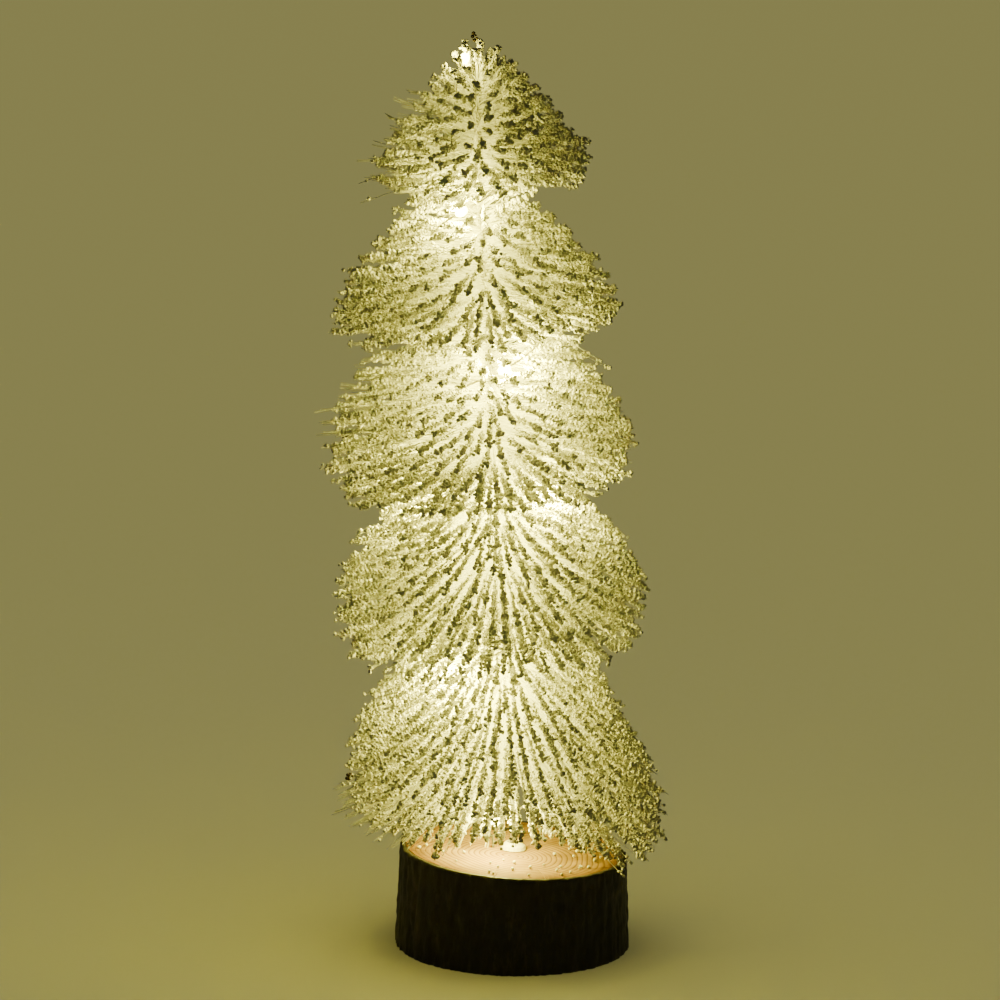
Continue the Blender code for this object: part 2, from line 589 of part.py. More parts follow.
def make_leads(red, black, sleeve_plastic):
    """The leads inside the log: cells to board, and board to the sleeve that joins the string."""
    end = BAY_LENGTH / 2 - GAP - CONTACT_THICKNESS - LEAD_RADIUS - GAP
    high = BAY_ROOF - 2 * GAP - LEAD_RADIUS
    pad = BOARD_TOP + GAP
    plus_tab = cell_rows()[1][1] + CELL_DIAMETER / 2 - MM
    hole_x = LEAD_HOLE.x
    hole_y = LEAD_HOLE.y
    middle = BOARD_BAY_MIDDLE
    battery_positive = [
        (end, plus_tab, high),
        (end, BAY_BACK + DIVIDER / 2, high),
        (end - 1.5 * MM, BOARD_BAY_FRONT + 1.6 * MM, high - 0.4 * MM),
        (end - 4.0 * MM, middle - MM, pad + 2.0 * MM),
        (end - 5.0 * MM, middle, pad),
    ]
    smooth_shade(tube("battery_lead_positive", smooth_path(battery_positive, 4), LEAD_RADIUS, red))
    battery_negative = [
        (hole_x, hole_y, BAY_ROOF - 2.0 * MM),
        (hole_x, hole_y, BAY_ROOF + CASE_WALL / 2),
        (hole_x - 0.6 * MM, hole_y + 1.6 * MM, LEAD_LEVEL),
        (hole_x - 4.0 * MM, BAY_BACK - 3 * MM, LEAD_LEVEL),
        (hole_x - 7.5 * MM, BOARD_BAY_FRONT + 0.5 * MM, LEAD_LEVEL - 0.3 * MM),
        (hole_x - 9.5 * MM, middle, pad + 4.5 * MM),
        (hole_x - 9.5 * MM, middle, pad),
    ]
    smooth_shade(tube("battery_lead_negative", smooth_path(battery_negative, 4), LEAD_RADIUS, black))
    row = STRING_HOLE.y
    sleeve_end = STRING_HOLE.x + 4.0 * MM
    sleeve_start = sleeve_end + SLEEVE_LENGTH
    apart = (LEAD_DIAMETER + GAP) / 2
    for name, side, finish in (("positive", 1, red), ("negative", -1, black)):
        start = BOARD_X + 2.5 * MM - side * 1.5 * MM
        route = [
            (start, middle + side * apart * 2, pad),
            (start, middle + side * apart * 2, pad + 3.5 * MM),
            (start - 0.5 * MM, middle - 2.5 * MM, LEAD_LEVEL),
            (sleeve_start + 3.5 * MM - side * 1.2 * MM, row + 3.0 * MM, LEAD_LEVEL),
            (sleeve_start + 1.5 * MM, row + side * apart, LEAD_LEVEL),
            (sleeve_start + GAP, row + side * apart, LEAD_LEVEL),
        ]
        smooth_shade(tube(f"light_lead_{name}", smooth_path(route, 4), LEAD_RADIUS, finish))
    radius = SLEEVE_DIAMETER / 2
    profile = [
        (0, SLEEVE_LENGTH),
        (radius * 0.8, SLEEVE_LENGTH),
        (radius, SLEEVE_LENGTH - 0.6 * MM),
        (radius, 0.6 * MM),
        (radius * 0.8, 0),
        (0, 0),
    ]
    sleeve = turned("wire_joint_sleeve", profile, 12, sleeve_plastic)
    sleeve.location = (sleeve_end, row, LEAD_LEVEL)
    sleeve.rotation_euler = (0, math.pi / 2, 0)
    smooth_shade(sleeve)


# Stem, string of lights and bristles


def stem_strand(name, phase, finish, axis):
    length = STEM_TOP - STEM_BOTTOM
    steps = round(STEM_STEPS * length / STEM_PITCH)
    points = []
    for step in range(steps + 1):
        angle = phase + 2 * math.pi * step / STEM_STEPS
        height = STEM_BOTTOM + length * step / steps
        points.append((STRAND_RADIUS * math.cos(angle), STRAND_RADIUS * math.sin(angle), height))
    strand = tube(name, points, STEM_WIRE_DIAMETER / 2, finish, axis)
    smooth_shade(strand)


def light_station(height, turn, distance):
    """A place on the string, in the tree's own frame."""
    angle = math.radians(turn)
    return Vector((distance * math.sin(angle), -distance * math.cos(angle), height)) * MM


def string_path():
    """The string's route in world space: out of the log's hole, then wound round the stem."""
    row = STRING_HOLE.y
    sleeve_end = STRING_HOLE.x + 4.0 * MM
    rising = [
        (sleeve_end - GAP, row, LEAD_LEVEL),
        (STRING_HOLE.x + 1.6 * MM, row, LEAD_LEVEL),
        (STRING_HOLE.x + 0.2 * MM, row, LEAD_LEVEL + 2.2 * MM),
        (STRING_HOLE.x, row, LEAD_LEVEL + 5.0 * MM),
        (STRING_HOLE.x, row, LOG_HEIGHT),
    ]
    path = smooth_path(rising, 3)
    first = LIGHTS[0]
    leave = (4.0, first[1] - 110.0, 9.0)
    for start, end in zip([leave, *LIGHTS], LIGHTS):
        steps = max(4, round((end[1] - start[1]) / STRING_STEP_DEGREES))
        for step in range(steps):
            share = step / steps
            path.append(TREE_FRAME @ light_station(*[a + (b - a) * share for a, b in zip(start, end)]))
    path.append(TREE_FRAME @ light_station(*LIGHTS[-1]))
    tail = (LIGHTS[-1][0] + 3.2, LIGHTS[-1][1] + 20.0, LIGHTS[-1][2])
    path.append(TREE_FRAME @ light_station(*tail))
    return path


def make_string(copper, glow):
    """The wire, one sealed droplet for each light, and the cutters that make room for both."""
    path = string_path()
    smooth_shade(tube("light_string_wire", path, STRING_DIAMETER / 2, copper))
    bore = tube("cut_light_bore", path, STRING_DIAMETER / 2 + GAP)
    tunnel = tube("cut_string_tunnel", path, STRING_DIAMETER / 2 + SLIDE_GAP)
    pockets = []
    for number, station in enumerate(LIGHTS, 1):
        place = TREE_FRAME @ light_station(*station)
        index = min(range(len(path)), key=lambda i: (Vector(path[i]) - place).length)
        along = Vector(path[index]) - Vector(path[index - 1])
        turn = along.to_track_quat("Z", "Y")
        shape = bmesh.new()
        bmesh.ops.create_uvsphere(shape, u_segments=10, v_segments=6, radius=1.0)
        bmesh.ops.scale(shape, verts=shape.verts, vec=(LIGHT_RADIUS, LIGHT_RADIUS, LIGHT_LENGTH / 2))
        droplet = from_bmesh(f"led_{number}", shape, glow)
        droplet.location = place
        droplet.rotation_mode = "QUATERNION"
        droplet.rotation_quaternion = turn
        cut(droplet, bore)
        smooth_shade(droplet)
        shape = bmesh.new()
        bmesh.ops.create_icosphere(shape, subdivisions=2, radius=LIGHT_LENGTH / 2 + SLIDE_GAP)
        pocket = from_bmesh(f"cut_light_pocket_{number}", shape)
        pocket.location = place
        pockets.append(pocket)
    return tunnel, pockets


def tier_profile(tier, top, under_radius):
    """Half of a tier's outline, from the stem over its flank and rim and back underneath."""
    neck = tier.neck_radius * MM
    rim = tier.rim_radius * MM
    outline = [(0, top)]
    if top > tier.neck_height * MM:
        outline.append((neck, top))
    for step in range(FLANK_STEPS + 1):
        share = step / FLANK_STEPS
        swell = share + tier.fullness * (math.sin(share * math.pi / 2) - share)
        height = tier.neck_height + (tier.rim_top - tier.neck_height) * share
        outline.append((neck + (rim - neck) * swell, height * MM))
    bottom = tier.rim_bottom * MM
    outline.append((rim - RIM_ROUNDING / 4, (tier.rim_top * MM + bottom) / 2))
    outline.append((rim - RIM_ROUNDING, bottom))
    ceiling = (tier.rim_bottom + tier.rise) * MM
    outline.append((under_radius, ceiling))
    outline.append((0, ceiling))
    return outline


def make_tiers(bristles, axis, bore, tunnel, pockets):
    top = TIERS[0].neck_height * MM
    for number, tier in enumerate(TIERS, 1):
        under_radius = LAST_UNDER_RADIUS
        if number < len(TIERS):
            under_radius = TIERS[number].neck_radius * MM + UNDER_MARGIN
        name = f"bristle_tier_{number}"
        solid = as_mesh(turned(name, tier_profile(tier, top, under_radius), TIER_SIDES, bristles, axis))
        for vert in solid.data.vertices:
            share = max(0.0, vert.co.x) / (tier.rim_radius * MM)
            vert.co.z -= tier.sag * MM * share**2
        solid.location = (tier.shift * MM, 0, 0)
        cut(solid, bore)
        cut(solid, tunnel)
        ceiling = (tier.rim_bottom + tier.rise) * MM
        reach = LIGHT_LENGTH
        for station, pocket in zip(LIGHTS, pockets):
            if ceiling - reach < station[0] * MM < top + reach:
                cut(solid, pocket)
        smooth_shade(solid)
        top = ceiling - TIER_GAP


def make_tree():
    clear_scene()
    wood = material("birch_wood", (0.62, 0.42, 0.22), 0.6)
    bark = material("dark_bark", (0.035, 0.028, 0.022), 0.9)
    steel = material("steel", (0.55, 0.55, 0.53), 0.35, 1.0)
    copper = material("enamelled_copper", (0.60, 0.33, 0.16), 0.35, 1.0)
    plastic = material("black_plastic", (0.03, 0.03, 0.032), 0.45)
    white = material("white_plastic", (0.80, 0.80, 0.78), 0.4)
    jacket = material("cell_jacket", (0.10, 0.22, 0.16), 0.3)
    green = material("board_laminate", (0.05, 0.22, 0.10), 0.4)
    blue = material("resistor_enamel", (0.25, 0.45, 0.60), 0.4)
    red_lead = material("red_insulation", (0.50, 0.03, 0.03), 0.5)
    black_lead = material("black_insulation", (0.02, 0.02, 0.02), 0.5)
    glue = material("hot_glue", (0.75, 0.70, 0.58), 0.3)
    glow = material("warm_light", (1.0, 0.85, 0.50), 0.3, glow=5.0)
    bristles = material("flocked_bristles", (0.80, 0.79, 0.72), 0.8)

    axis = bpy.data.objects.new("tree_axis", None)
    bpy.data.collections[TREE].objects.link(axis)
    axis.matrix_world = TREE_FRAME

    core = make_log(wood, bark)
    make_case(plastic, steel)
    make_cover(plastic, steel)
    make_cells(jacket)
    make_contacts(steel)
    make_switch(plastic, white, green, blue)
    make_leads(red_lead, black_lead, black_lead)

    hole_radius = STEM_RADIUS + STEM_HOLE_GAP
    cut(core, rod("cut_stem_hole", (0, 0), hole_radius, STEM_BOTTOM - GAP, CUT_OVER, sides=16, parent=axis))
    bore = rod("cut_stem_bore", (0, 0), hole_radius, 0.0, STEM_TOP + 10 * CUT_OVER, sides=16, parent=axis)
    glue_profile = [
        (0, GLUE_HEIGHT),
        (GLUE_RADIUS * 0.6, GLUE_HEIGHT),
        (GLUE_RADIUS * 0.9, GLUE_HEIGHT / 2),
        (GLUE_RADIUS, 0),
        (0, 0),
    ]
    ring = turned("stem_glue", glue_profile, 20, glue)
    ring.location = (0, 0, LOG_HEIGHT + GAP)
    ring.rotation_euler = (0, -math.atan(LOG_TOP_SLOPE), 0)
    cut(ring, rod("cut_glue_bore", (0, 0), hole_radius, -CUT_OVER, 2 * CUT_OVER, sides=16, parent=axis))
    stem_strand("stem_wire_a", 0.0, steel, axis)
    stem_strand("stem_wire_b", math.pi, steel, axis)
    tunnel, pockets = make_string(copper, glow)
    make_tiers(bristles, axis, bore, tunnel, pockets)
    bpy.context.view_layer.update()


make_tree()
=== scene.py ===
# %% [markdown]
# # A tabletop tree of flocked bristles
#
# The tree is a giant bottle brush. Clear plastic filaments are caught in a twisted wire stem, and their outer
# halves are coated with white foam granules. It stands on a slice of log, and a string of seven warm lights is
# wound through it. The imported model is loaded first, and everything that follows is built round it.

import math

import bmesh
import bpy
import numpy as np
from mathutils import Matrix, Vector
from mathutils import noise as mathutils_noise
from mathutils.bvhtree import BVHTree


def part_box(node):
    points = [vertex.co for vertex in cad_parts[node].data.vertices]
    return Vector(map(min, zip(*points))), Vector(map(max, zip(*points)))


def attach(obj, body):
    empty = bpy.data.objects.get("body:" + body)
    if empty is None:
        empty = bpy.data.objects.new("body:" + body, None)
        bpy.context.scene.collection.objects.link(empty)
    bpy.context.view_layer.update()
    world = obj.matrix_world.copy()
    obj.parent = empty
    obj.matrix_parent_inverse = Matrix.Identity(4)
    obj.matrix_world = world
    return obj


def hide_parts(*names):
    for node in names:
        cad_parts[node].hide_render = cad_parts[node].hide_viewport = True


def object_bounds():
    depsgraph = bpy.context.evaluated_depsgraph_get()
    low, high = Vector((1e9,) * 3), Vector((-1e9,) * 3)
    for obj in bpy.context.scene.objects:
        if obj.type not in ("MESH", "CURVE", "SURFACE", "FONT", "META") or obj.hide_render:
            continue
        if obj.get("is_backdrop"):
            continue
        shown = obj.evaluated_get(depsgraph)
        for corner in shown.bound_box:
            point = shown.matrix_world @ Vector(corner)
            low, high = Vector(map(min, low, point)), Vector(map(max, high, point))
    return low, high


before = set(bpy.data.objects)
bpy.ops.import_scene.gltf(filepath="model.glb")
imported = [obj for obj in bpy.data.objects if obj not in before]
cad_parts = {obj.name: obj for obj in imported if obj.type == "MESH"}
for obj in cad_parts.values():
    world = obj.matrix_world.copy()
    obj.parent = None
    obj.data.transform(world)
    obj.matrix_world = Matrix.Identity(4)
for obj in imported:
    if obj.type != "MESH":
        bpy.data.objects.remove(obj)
cad_low, cad_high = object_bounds()
MM = 0.001
scene = bpy.context.scene
print("model box in mm:", [round(side / MM, 1) for side in cad_high - cad_low])

# %% [markdown]
# ## Camera
#
# A long lens seen from a little above keeps the tiers from converging. The camera is tipped by one degree,
# as a hand-held one would be, and it aims at the middle of the tree's height.

# %% Camera
LENS = 200.0
SENSOR = 36.0
DISTANCE = 1.924
PITCH = math.radians(11.73)
ROLL = math.radians(1.0)
AIM_ASIDE = 0.98 * MM
FAR_CLIP = 50.0

aim = (cad_low + cad_high) / 2
aim = Vector((aim.x + AIM_ASIDE, 0, aim.z))
ahead = Vector((0, math.cos(PITCH), -math.sin(PITCH)))
camera = bpy.data.objects.new("camera", bpy.data.cameras.new("camera"))
camera.data.lens = LENS
camera.data.sensor_width = SENSOR
camera.data.clip_end = FAR_CLIP
camera.matrix_world = (
    Matrix.Translation(aim - ahead * DISTANCE)
    @ ahead.to_track_quat("-Z", "Y").to_matrix().to_4x4()
    @ Matrix.Rotation(ROLL, 4, "Z")
)
scene.collection.objects.link(camera)
scene.camera = camera
print("camera at", [round(c, 3) for c in camera.location])

# %% [markdown]
# ## Materials
#
# Each finish is a small tree of nodes. These helpers keep a material to a few lines: one starts a Principled
# shader, one adds a node, and one adds a noise that reads the piece's own Object coordinates, so that a pattern
# has its real size on every piece.


# %% Material helpers
def start_material(name, colour, roughness, metallic=0.0):
    """A new material with a Principled shader. Returns the material, its nodes' tree and the shader."""
    made = bpy.data.materials.new(name)
    made.use_nodes = True
    tree = made.node_tree
    shader = tree.nodes["Principled BSDF"]
    shader.inputs["Base Color"].default_value = (*colour, 1.0)
    shader.inputs["Roughness"].default_value = roughness
    shader.inputs["Metallic"].default_value = metallic
    return made, tree, shader


def node(tree, kind, **settings):
    """Adds a node. Settings that name an input set its value, and the others set the node."""
    made = tree.nodes.new(kind)
    for key, value in settings.items():
        label = key.replace("_", " ").title()
        if label in made.inputs:
            made.inputs[label].default_value = value
        else:
            setattr(made, key, value)
    return made


def noise(tree, scale, detail=3.0, roughness=0.5, stretch=(1, 1, 1)):
    """A noise of so many features a metre, stretched along the piece's own axes."""
    place = node(tree, "ShaderNodeTexCoord")
    mapping = node(tree, "ShaderNodeMapping")
    mapping.inputs["Scale"].default_value = stretch
    texture = node(tree, "ShaderNodeTexNoise", scale=scale, detail=detail, roughness=roughness)
    tree.links.new(place.outputs["Object"], mapping.inputs["Vector"])
    tree.links.new(mapping.outputs["Vector"], texture.inputs["Vector"])
    return texture.outputs["Fac"]


def ramp(tree, source, stops):
    """Colours or greys along a value, as (place, colour) stops."""
    made = node(tree, "ShaderNodeValToRGB")
    elements = made.color_ramp.elements
    while len(elements) < len(stops):
        elements.new(1.0)
    for element, (place, colour) in zip(elements, stops):
        element.position = place
        element.color = (*colour, 1.0)
    tree.links.new(source, made.inputs["Fac"])
    return made.outputs["Color"]


def bump(tree, shader, height, strength, distance):
    """Fine relief on a shader's normal."""
    made = node(tree, "ShaderNodeBump", strength=strength, distance=distance)
    tree.links.new(height, made.inputs["Height"])
    tree.links.new(made.outputs["Normal"], shader.inputs["Normal"])


def grey(level):
    """A grey as a colour, for ramps that carry a plain number."""
    return (level, level, level)


# %% [markdown]
# ## Floor and light
#
# The tree stands on one plain, pale floor in a dim room, and is lit by its own lights. A soft studio light
# from overhead is linked to the floor alone, or it would drown them, and a faint sky shows the unlit sides. The
# floor throws nothing back at the tree for the same reason.

# %% Floor and studio light
FLOOR_SIZE = 16.0
FLOOR_COLOUR = (0.70, 0.66, 0.225)
FLOOR_ROUGHNESS = 0.7
FLOOR_SHINE = 0.15
SKY_COLOUR = (1.0, 0.95, 0.50)
SKY_STRENGTH = 0.025
STUDIO_STRENGTH = 1.08
STUDIO_SOFTNESS = math.radians(70)

floor_shape = bmesh.new()
bmesh.ops.create_grid(floor_shape, x_segments=1, y_segments=1, size=FLOOR_SIZE / 2)
floor_mesh = bpy.data.meshes.new("floor")
floor_shape.to_mesh(floor_mesh)
floor_shape.free()
floor = bpy.data.objects.new("floor", floor_mesh)
scene.collection.objects.link(floor)
floor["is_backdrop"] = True
floor_paint, tree, shader = start_material("pale_floor", FLOOR_COLOUR, FLOOR_ROUGHNESS)
shader.inputs["Specular IOR Level"].default_value = FLOOR_SHINE
floor.data.materials.append(floor_paint)

world = bpy.data.worlds.new("dim_room")
world.use_nodes = True
scene.world = world
sky = world.node_tree.nodes["Background"]
sky.inputs["Color"].default_value = (*SKY_COLOUR, 1.0)
sky.inputs["Strength"].default_value = SKY_STRENGTH

light = bpy.data.lights.new("studio_light", "SUN")
light.energy = STUDIO_STRENGTH
light.angle = STUDIO_SOFTNESS
lamp = bpy.data.objects.new("studio_light", light)
scene.collection.objects.link(lamp)
lit_by_studio = bpy.data.collections.new("lit_by_studio")
lit_by_studio.objects.link(floor)
lamp.light_linking.receiver_collection = lit_by_studio
floor.visible_diffuse = False
floor.visible_shadow = False
print("floor and studio light ready")

# %% [markdown]
# ## The stem's own axis
#
# The tree leans to the left by a few degrees, so bristles are laid out in the stem's frame: heights are
# measured along the stem from the log's top. The two strands of the stem give the axis: the middle of their
# lower end and the middle of their upper end. The log's top slopes a little, so its height and slope are
# measured too.


# %% Measure the stem
def cad_points(*names):
    """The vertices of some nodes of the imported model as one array."""
    return np.array([v.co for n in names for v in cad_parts[n].data.vertices])


END = 10 * MM
TOP_BAND = 5 * MM
strands = cad_points("stem_wire_a", "stem_wire_b")
foot = strands[strands[:, 2] < strands[:, 2].min() + END].mean(0)
head = strands[strands[:, 2] > strands[:, 2].max() - END].mean(0)
lean = math.atan2(head[0] - foot[0], head[2] - foot[2])
log_points = cad_points("log_core")
top_points = log_points[log_points[:, 2] > log_points[:, 2].max() - TOP_BAND]
log_top = (top_points[:, 2].max() + top_points[:, 2].min()) / 2
top_slope = -(top_points[:, 2].max() - top_points[:, 2].min()) / np.ptp(top_points[:, 0])
stem_foot = Vector((foot[0] + math.tan(lean) * (log_top - foot[2]), 0, log_top))
tree_frame = Matrix.Translation(stem_foot) @ Matrix.Rotation(lean, 4, "Y")
from_stem = np.array(tree_frame)
to_stem = np.array(tree_frame.inverted())


def through(matrix, points):
    """Points of any array shape moved by a 4x4 matrix."""
    return points @ matrix[:3, :3].T + matrix[:3, 3]


print("the stem leans", round(math.degrees(lean), 2), "degrees")
print("the log's top is at", round(log_top / MM, 1), "mm")

# %% [markdown]
# ## Copies of a small shape
#
# A tier has thousands of granules and filaments. Making an object for each would be slow, and joining them is
# slower. A tiny prototype is modelled once, its vertices are moved for every copy at one go, and all the copies
# go into one mesh. Each copy also gets a cell of its own in a UV map, so that its colour can be baked.


# %% Prototypes and their copies
CELL_MARGIN = 0.1


def prototype(shape):
    """The vertices and faces of a finished bmesh, which is freed."""
    shape.verts.ensure_lookup_table()
    points = np.array([v.co for v in shape.verts])
    faces = np.array([[v.index for v in f.verts] for f in shape.faces])
    shape.free()
    return points, faces


def many(name, copies, faces, flat):
    """One object from copies, an array of each copy's vertices. flat is the prototype's own UV, from 0 to 1."""
    count, size, _ = copies.shape
    corners = faces.shape[1]
    indices = (faces[None] + np.arange(count)[:, None, None] * size).reshape(-1)
    mesh = bpy.data.meshes.new(name)
    mesh.vertices.add(count * size)
    mesh.vertices.foreach_set("co", copies.astype(np.float32).ravel())
    mesh.loops.add(len(indices))
    mesh.loops.foreach_set("vertex_index", indices.astype(np.int32))
    mesh.polygons.add(count * len(faces))
    mesh.polygons.foreach_set("loop_start", np.arange(count * len(faces), dtype=np.int32) * corners)
    mesh.update(calc_edges=True)
    across = math.ceil(math.sqrt(count))
    cells = np.stack([np.arange(count) % across, np.arange(count) // across], -1)
    places = (cells[:, None, None] + CELL_MARGIN + (1 - 2 * CELL_MARGIN) * flat[faces][None]) / across
    mesh.uv_layers.new(name="OFBake").data.foreach_set("uv", places.astype(np.float32).ravel())
    mesh.shade_smooth()
    piece = bpy.data.objects.new(name, mesh)
    scene.collection.objects.link(piece)
    return piece


def unit_flat(points):
    """A prototype's x and y, fitted to a square from 0 to 1."""
    flat = points[:, :2] - points[:, :2].min(0)
    return flat / flat.max()


# %% [markdown]
# ## Granules
#
# The flock is foam, crushed to granules of about one millimetre and glued on. A granule near the outside is a
# 20-sided ball, and one deep in the tier only needs eight sides. Each is turned and squeezed at random, so that
# the coat looks crumbly and not like a string of beads.

# %% Granule prototypes
shape = bmesh.new()
bmesh.ops.create_icosphere(shape, subdivisions=1, radius=1.0)
round_granule = prototype(shape)
shape = bmesh.new()
bmesh.ops.create_uvsphere(shape, u_segments=4, v_segments=2, radius=1.0)
bmesh.ops.triangulate(shape, faces=shape.faces)
plain_granule = prototype(shape)
print("granules of", len(round_granule[1]), "and", len(plain_granule[1]), "faces")


# %% Turning and squeezing granules
SQUEEZE = (0.78, 1.12)


def random_turns(count, rng):
    """Rotation matrices, from random unit quaternions."""
    numbers = rng.normal(size=(4, count))
    w, x, y, z = numbers / np.linalg.norm(numbers, axis=0)
    return np.stack(
        [
            np.stack([1 - 2 * (y * y + z * z), 2 * (x * y - z * w), 2 * (x * z + y * w)], -1),
            np.stack([2 * (x * y + z * w), 1 - 2 * (x * x + z * z), 2 * (y * z - x * w)], -1),
            np.stack([2 * (x * z - y * w), 2 * (y * z + x * w), 1 - 2 * (x * x + y * y)], -1),
        ],
        1,
    )


def granules(name, kind, centres, radii, rng):
    """One mesh of granules of one kind round the centres."""
    points, faces = kind
    squeeze = rng.uniform(*SQUEEZE, (len(centres), 1, 3))
    turned = np.einsum("cij,cpj->cpi", random_turns(len(centres), rng), points[None] * squeeze)
    return many(name, centres[:, None] + turned * radii[:, None, None], faces, unit_flat(points))


# %% [markdown]
# ## Filaments
#
# A filament is a quarter of a millimetre thick and nearly straight, bending a little under its coat. Its
# prototype is a three-sided rod of unit length with two rings between its ends. The rings are then laid along
# a curve from the stem to the tip.

# %% Filament prototype
shape = bmesh.new()
bmesh.ops.create_cone(shape, segments=3, radius1=1.0, radius2=1.0, depth=1.0)
bmesh.ops.translate(shape, verts=shape.verts, vec=(0, 0, 0.5))
long_edges = [e for e in shape.edges if abs(e.verts[0].co.z - e.verts[1].co.z) > 0.5]
bmesh.ops.subdivide_edges(shape, edges=long_edges, cuts=2, use_grid_fill=True)
filament = prototype(shape)
print("a filament has", len(filament[1]), "faces")


# %% Laying filaments along their curves
def along(start, middle, end, share):
    """Points on the curves from start to end that bend towards middle, at a share of their way."""
    share = share[..., None]
    return start * (1 - share) ** 2 + middle * 2 * share * (1 - share) + end * share**2


def filaments(name, start, middle, end, radius):
    """One mesh of filaments, one for each row of start, middle and end."""
    points, faces = filament
    ring = points[:, 2]
    centres = along(start[:, None], middle[:, None], end[:, None], ring[None])
    way = end - start
    way /= np.linalg.norm(way, axis=1)[:, None]
    side = np.cross(way, (0, 0, 1.0))
    side /= np.linalg.norm(side, axis=1)[:, None] + 1e-9
    up = np.cross(side, way)
    flesh = (side[:, None] * points[None, :, :1] + up[:, None] * points[None, :, 1:2]) * radius[:, None, None]
    unrolled = np.stack([np.arctan2(points[:, 1], points[:, 0]) / 7 + 0.5, ring], -1)
    return many(name, centres + flesh, faces, unrolled)


# %% [markdown]
# ## Snow-white plastic
#
# Foam granules and clear filaments both let light through. A diffuse surface that is part translucent does that
# cheaply: a granule with a light behind it glows, and the one in front of it stays grey.


# %% Translucent plastics
def translucent_plastic(name, light_tone, dark_tone, roughness, share):
    """White plastic that passes a share of its light, with slight changes of tone from granule to granule."""
    made, tree, shader = start_material(name, light_tone, roughness)
    tone = ramp(tree, noise(tree, 700, 2.0), [(0.35, dark_tone), (0.65, light_tone)])
    tree.links.new(tone, shader.inputs["Base Color"])
    passing = node(tree, "ShaderNodeBsdfTranslucent")
    tree.links.new(tone, passing.inputs["Color"])
    mix = node(tree, "ShaderNodeMixShader")
    mix.inputs["Fac"].default_value = share
    tree.links.new(shader.outputs["BSDF"], mix.inputs[1])
    tree.links.new(passing.outputs["BSDF"], mix.inputs[2])
    tree.links.new(mix.outputs["Shader"], tree.nodes["Material Output"].inputs["Surface"])
    return made


foam = translucent_plastic("foam_granules", (0.88, 0.88, 0.82), (0.72, 0.71, 0.62), 0.75, 0.04)
clear_plastic = translucent_plastic("clear_filaments", (0.74, 0.74, 0.68), (0.62, 0.62, 0.55), 0.25, 0.50)

# %% [markdown]
# ## Where bristles end
#
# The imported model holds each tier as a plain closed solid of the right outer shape. Its outside is used as a
# guide: bundles of filaments end there. Points are thrown onto the solid's triangles at random, and one is kept
# when it lies on the true outside and no kept point is near, which spreads bundles evenly and never in rows.

# %% Tiers from the top
TIERS = [f"bristle_tier_{i}" for i in range(1, 6)]
BUNDLE_SPACING = 4.7 * MM
UNDERSIDE_SPACING = 6.5 * MM
HIDDEN_NECK = 4.0 * MM
THROWS = 9000
FACES_DOWN = -0.4
NEAR_STEM = 12 * MM
BELOW_CREST = 20 * MM
LOOK_FROM = 0.2
ON_OUTSIDE = 1.0 * MM
rng = np.random.default_rng(12)


def triangles_in_stem_frame(name):
    """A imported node's vertices in the stem's frame, and its triangles."""
    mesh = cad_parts[name].data
    mesh.calc_loop_triangles()
    corners = np.array([t.vertices for t in mesh.loop_triangles])
    return through(to_stem, cad_points(name)), corners


def thrown_points(points, corners, count):
    """Random points on triangles, by area, with the normals of their triangles."""
    a, b, c = (points[corners[:, i]] for i in range(3))
    normal = np.cross(b - a, c - a)
    area = np.linalg.norm(normal, axis=1)
    chosen = rng.choice(len(corners), count, p=area / area.sum())
    u, v = rng.random((2, count))
    over = u + v > 1
    u[over], v[over] = 1 - u[over], 1 - v[over]
    places = a[chosen] + u[:, None] * (b - a)[chosen] + v[:, None] * (c - a)[chosen]
    return places, (normal / (area[:, None] + 1e-12))[chosen]


def spaced(places, spacing):
    """The places left when each must keep its distance from all kept before it."""
    kept = np.empty((0, 3))
    for place, room in zip(places, spacing):
        if not len(kept) or (((kept - place) ** 2).sum(1) > room**2).all():
            kept = np.vstack([kept, place])
    return kept


def bundle_ends(name, ceiling):
    """Where this tier's bundles end. Above ceiling the neck is hidden inside the tier above, and low down by
    the stem the filaments are the ones that pass on their way out."""
    points, corners = triangles_in_stem_frame(name)
    tree = BVHTree.FromPolygons(points.tolist(), corners.tolist())
    places, normals = thrown_points(points, corners, THROWS)
    kept, rooms = [], []
    for place, normal in zip(places, normals):
        outward = Vector((place[0], place[1], 0)).normalized()
        under = normal[2] < FACES_DOWN
        by_stem = Vector(place[:2]).length < NEAR_STEM and place[2] < points[:, 2].max() - BELOW_CREST
        if place[2] > ceiling or by_stem:
            continue
        look = Vector((0, 0, -1)) if under else outward
        hit = tree.ray_cast(Vector(place) + look * LOOK_FROM, -look)
        if hit[0] is None or (hit[0] - Vector(place)).length > ON_OUTSIDE:
            continue
        kept.append(place)
        rooms.append(UNDERSIDE_SPACING if under else BUNDLE_SPACING)
    return spaced(kept, rooms)


ends = []
ceiling = 1.0
for name in TIERS:
    found = bundle_ends(name, ceiling)
    ends.append(found)
    ceiling = found[:, 2].min() + HIDDEN_NECK
    print(name, len(found), "bundles")

# %% [markdown]
# ## Growing a tier
#
# A bundle leaves the stem above the place where it ends: flat or even rising at the top of a tier, and falling
# steeply at its foot, where the coat is heaviest. Its filaments start apart on the stem and come together at the
# tip, where the coat glues them. A slow noise makes some bundles longer than others, so that the outline is
# never a smooth cone.

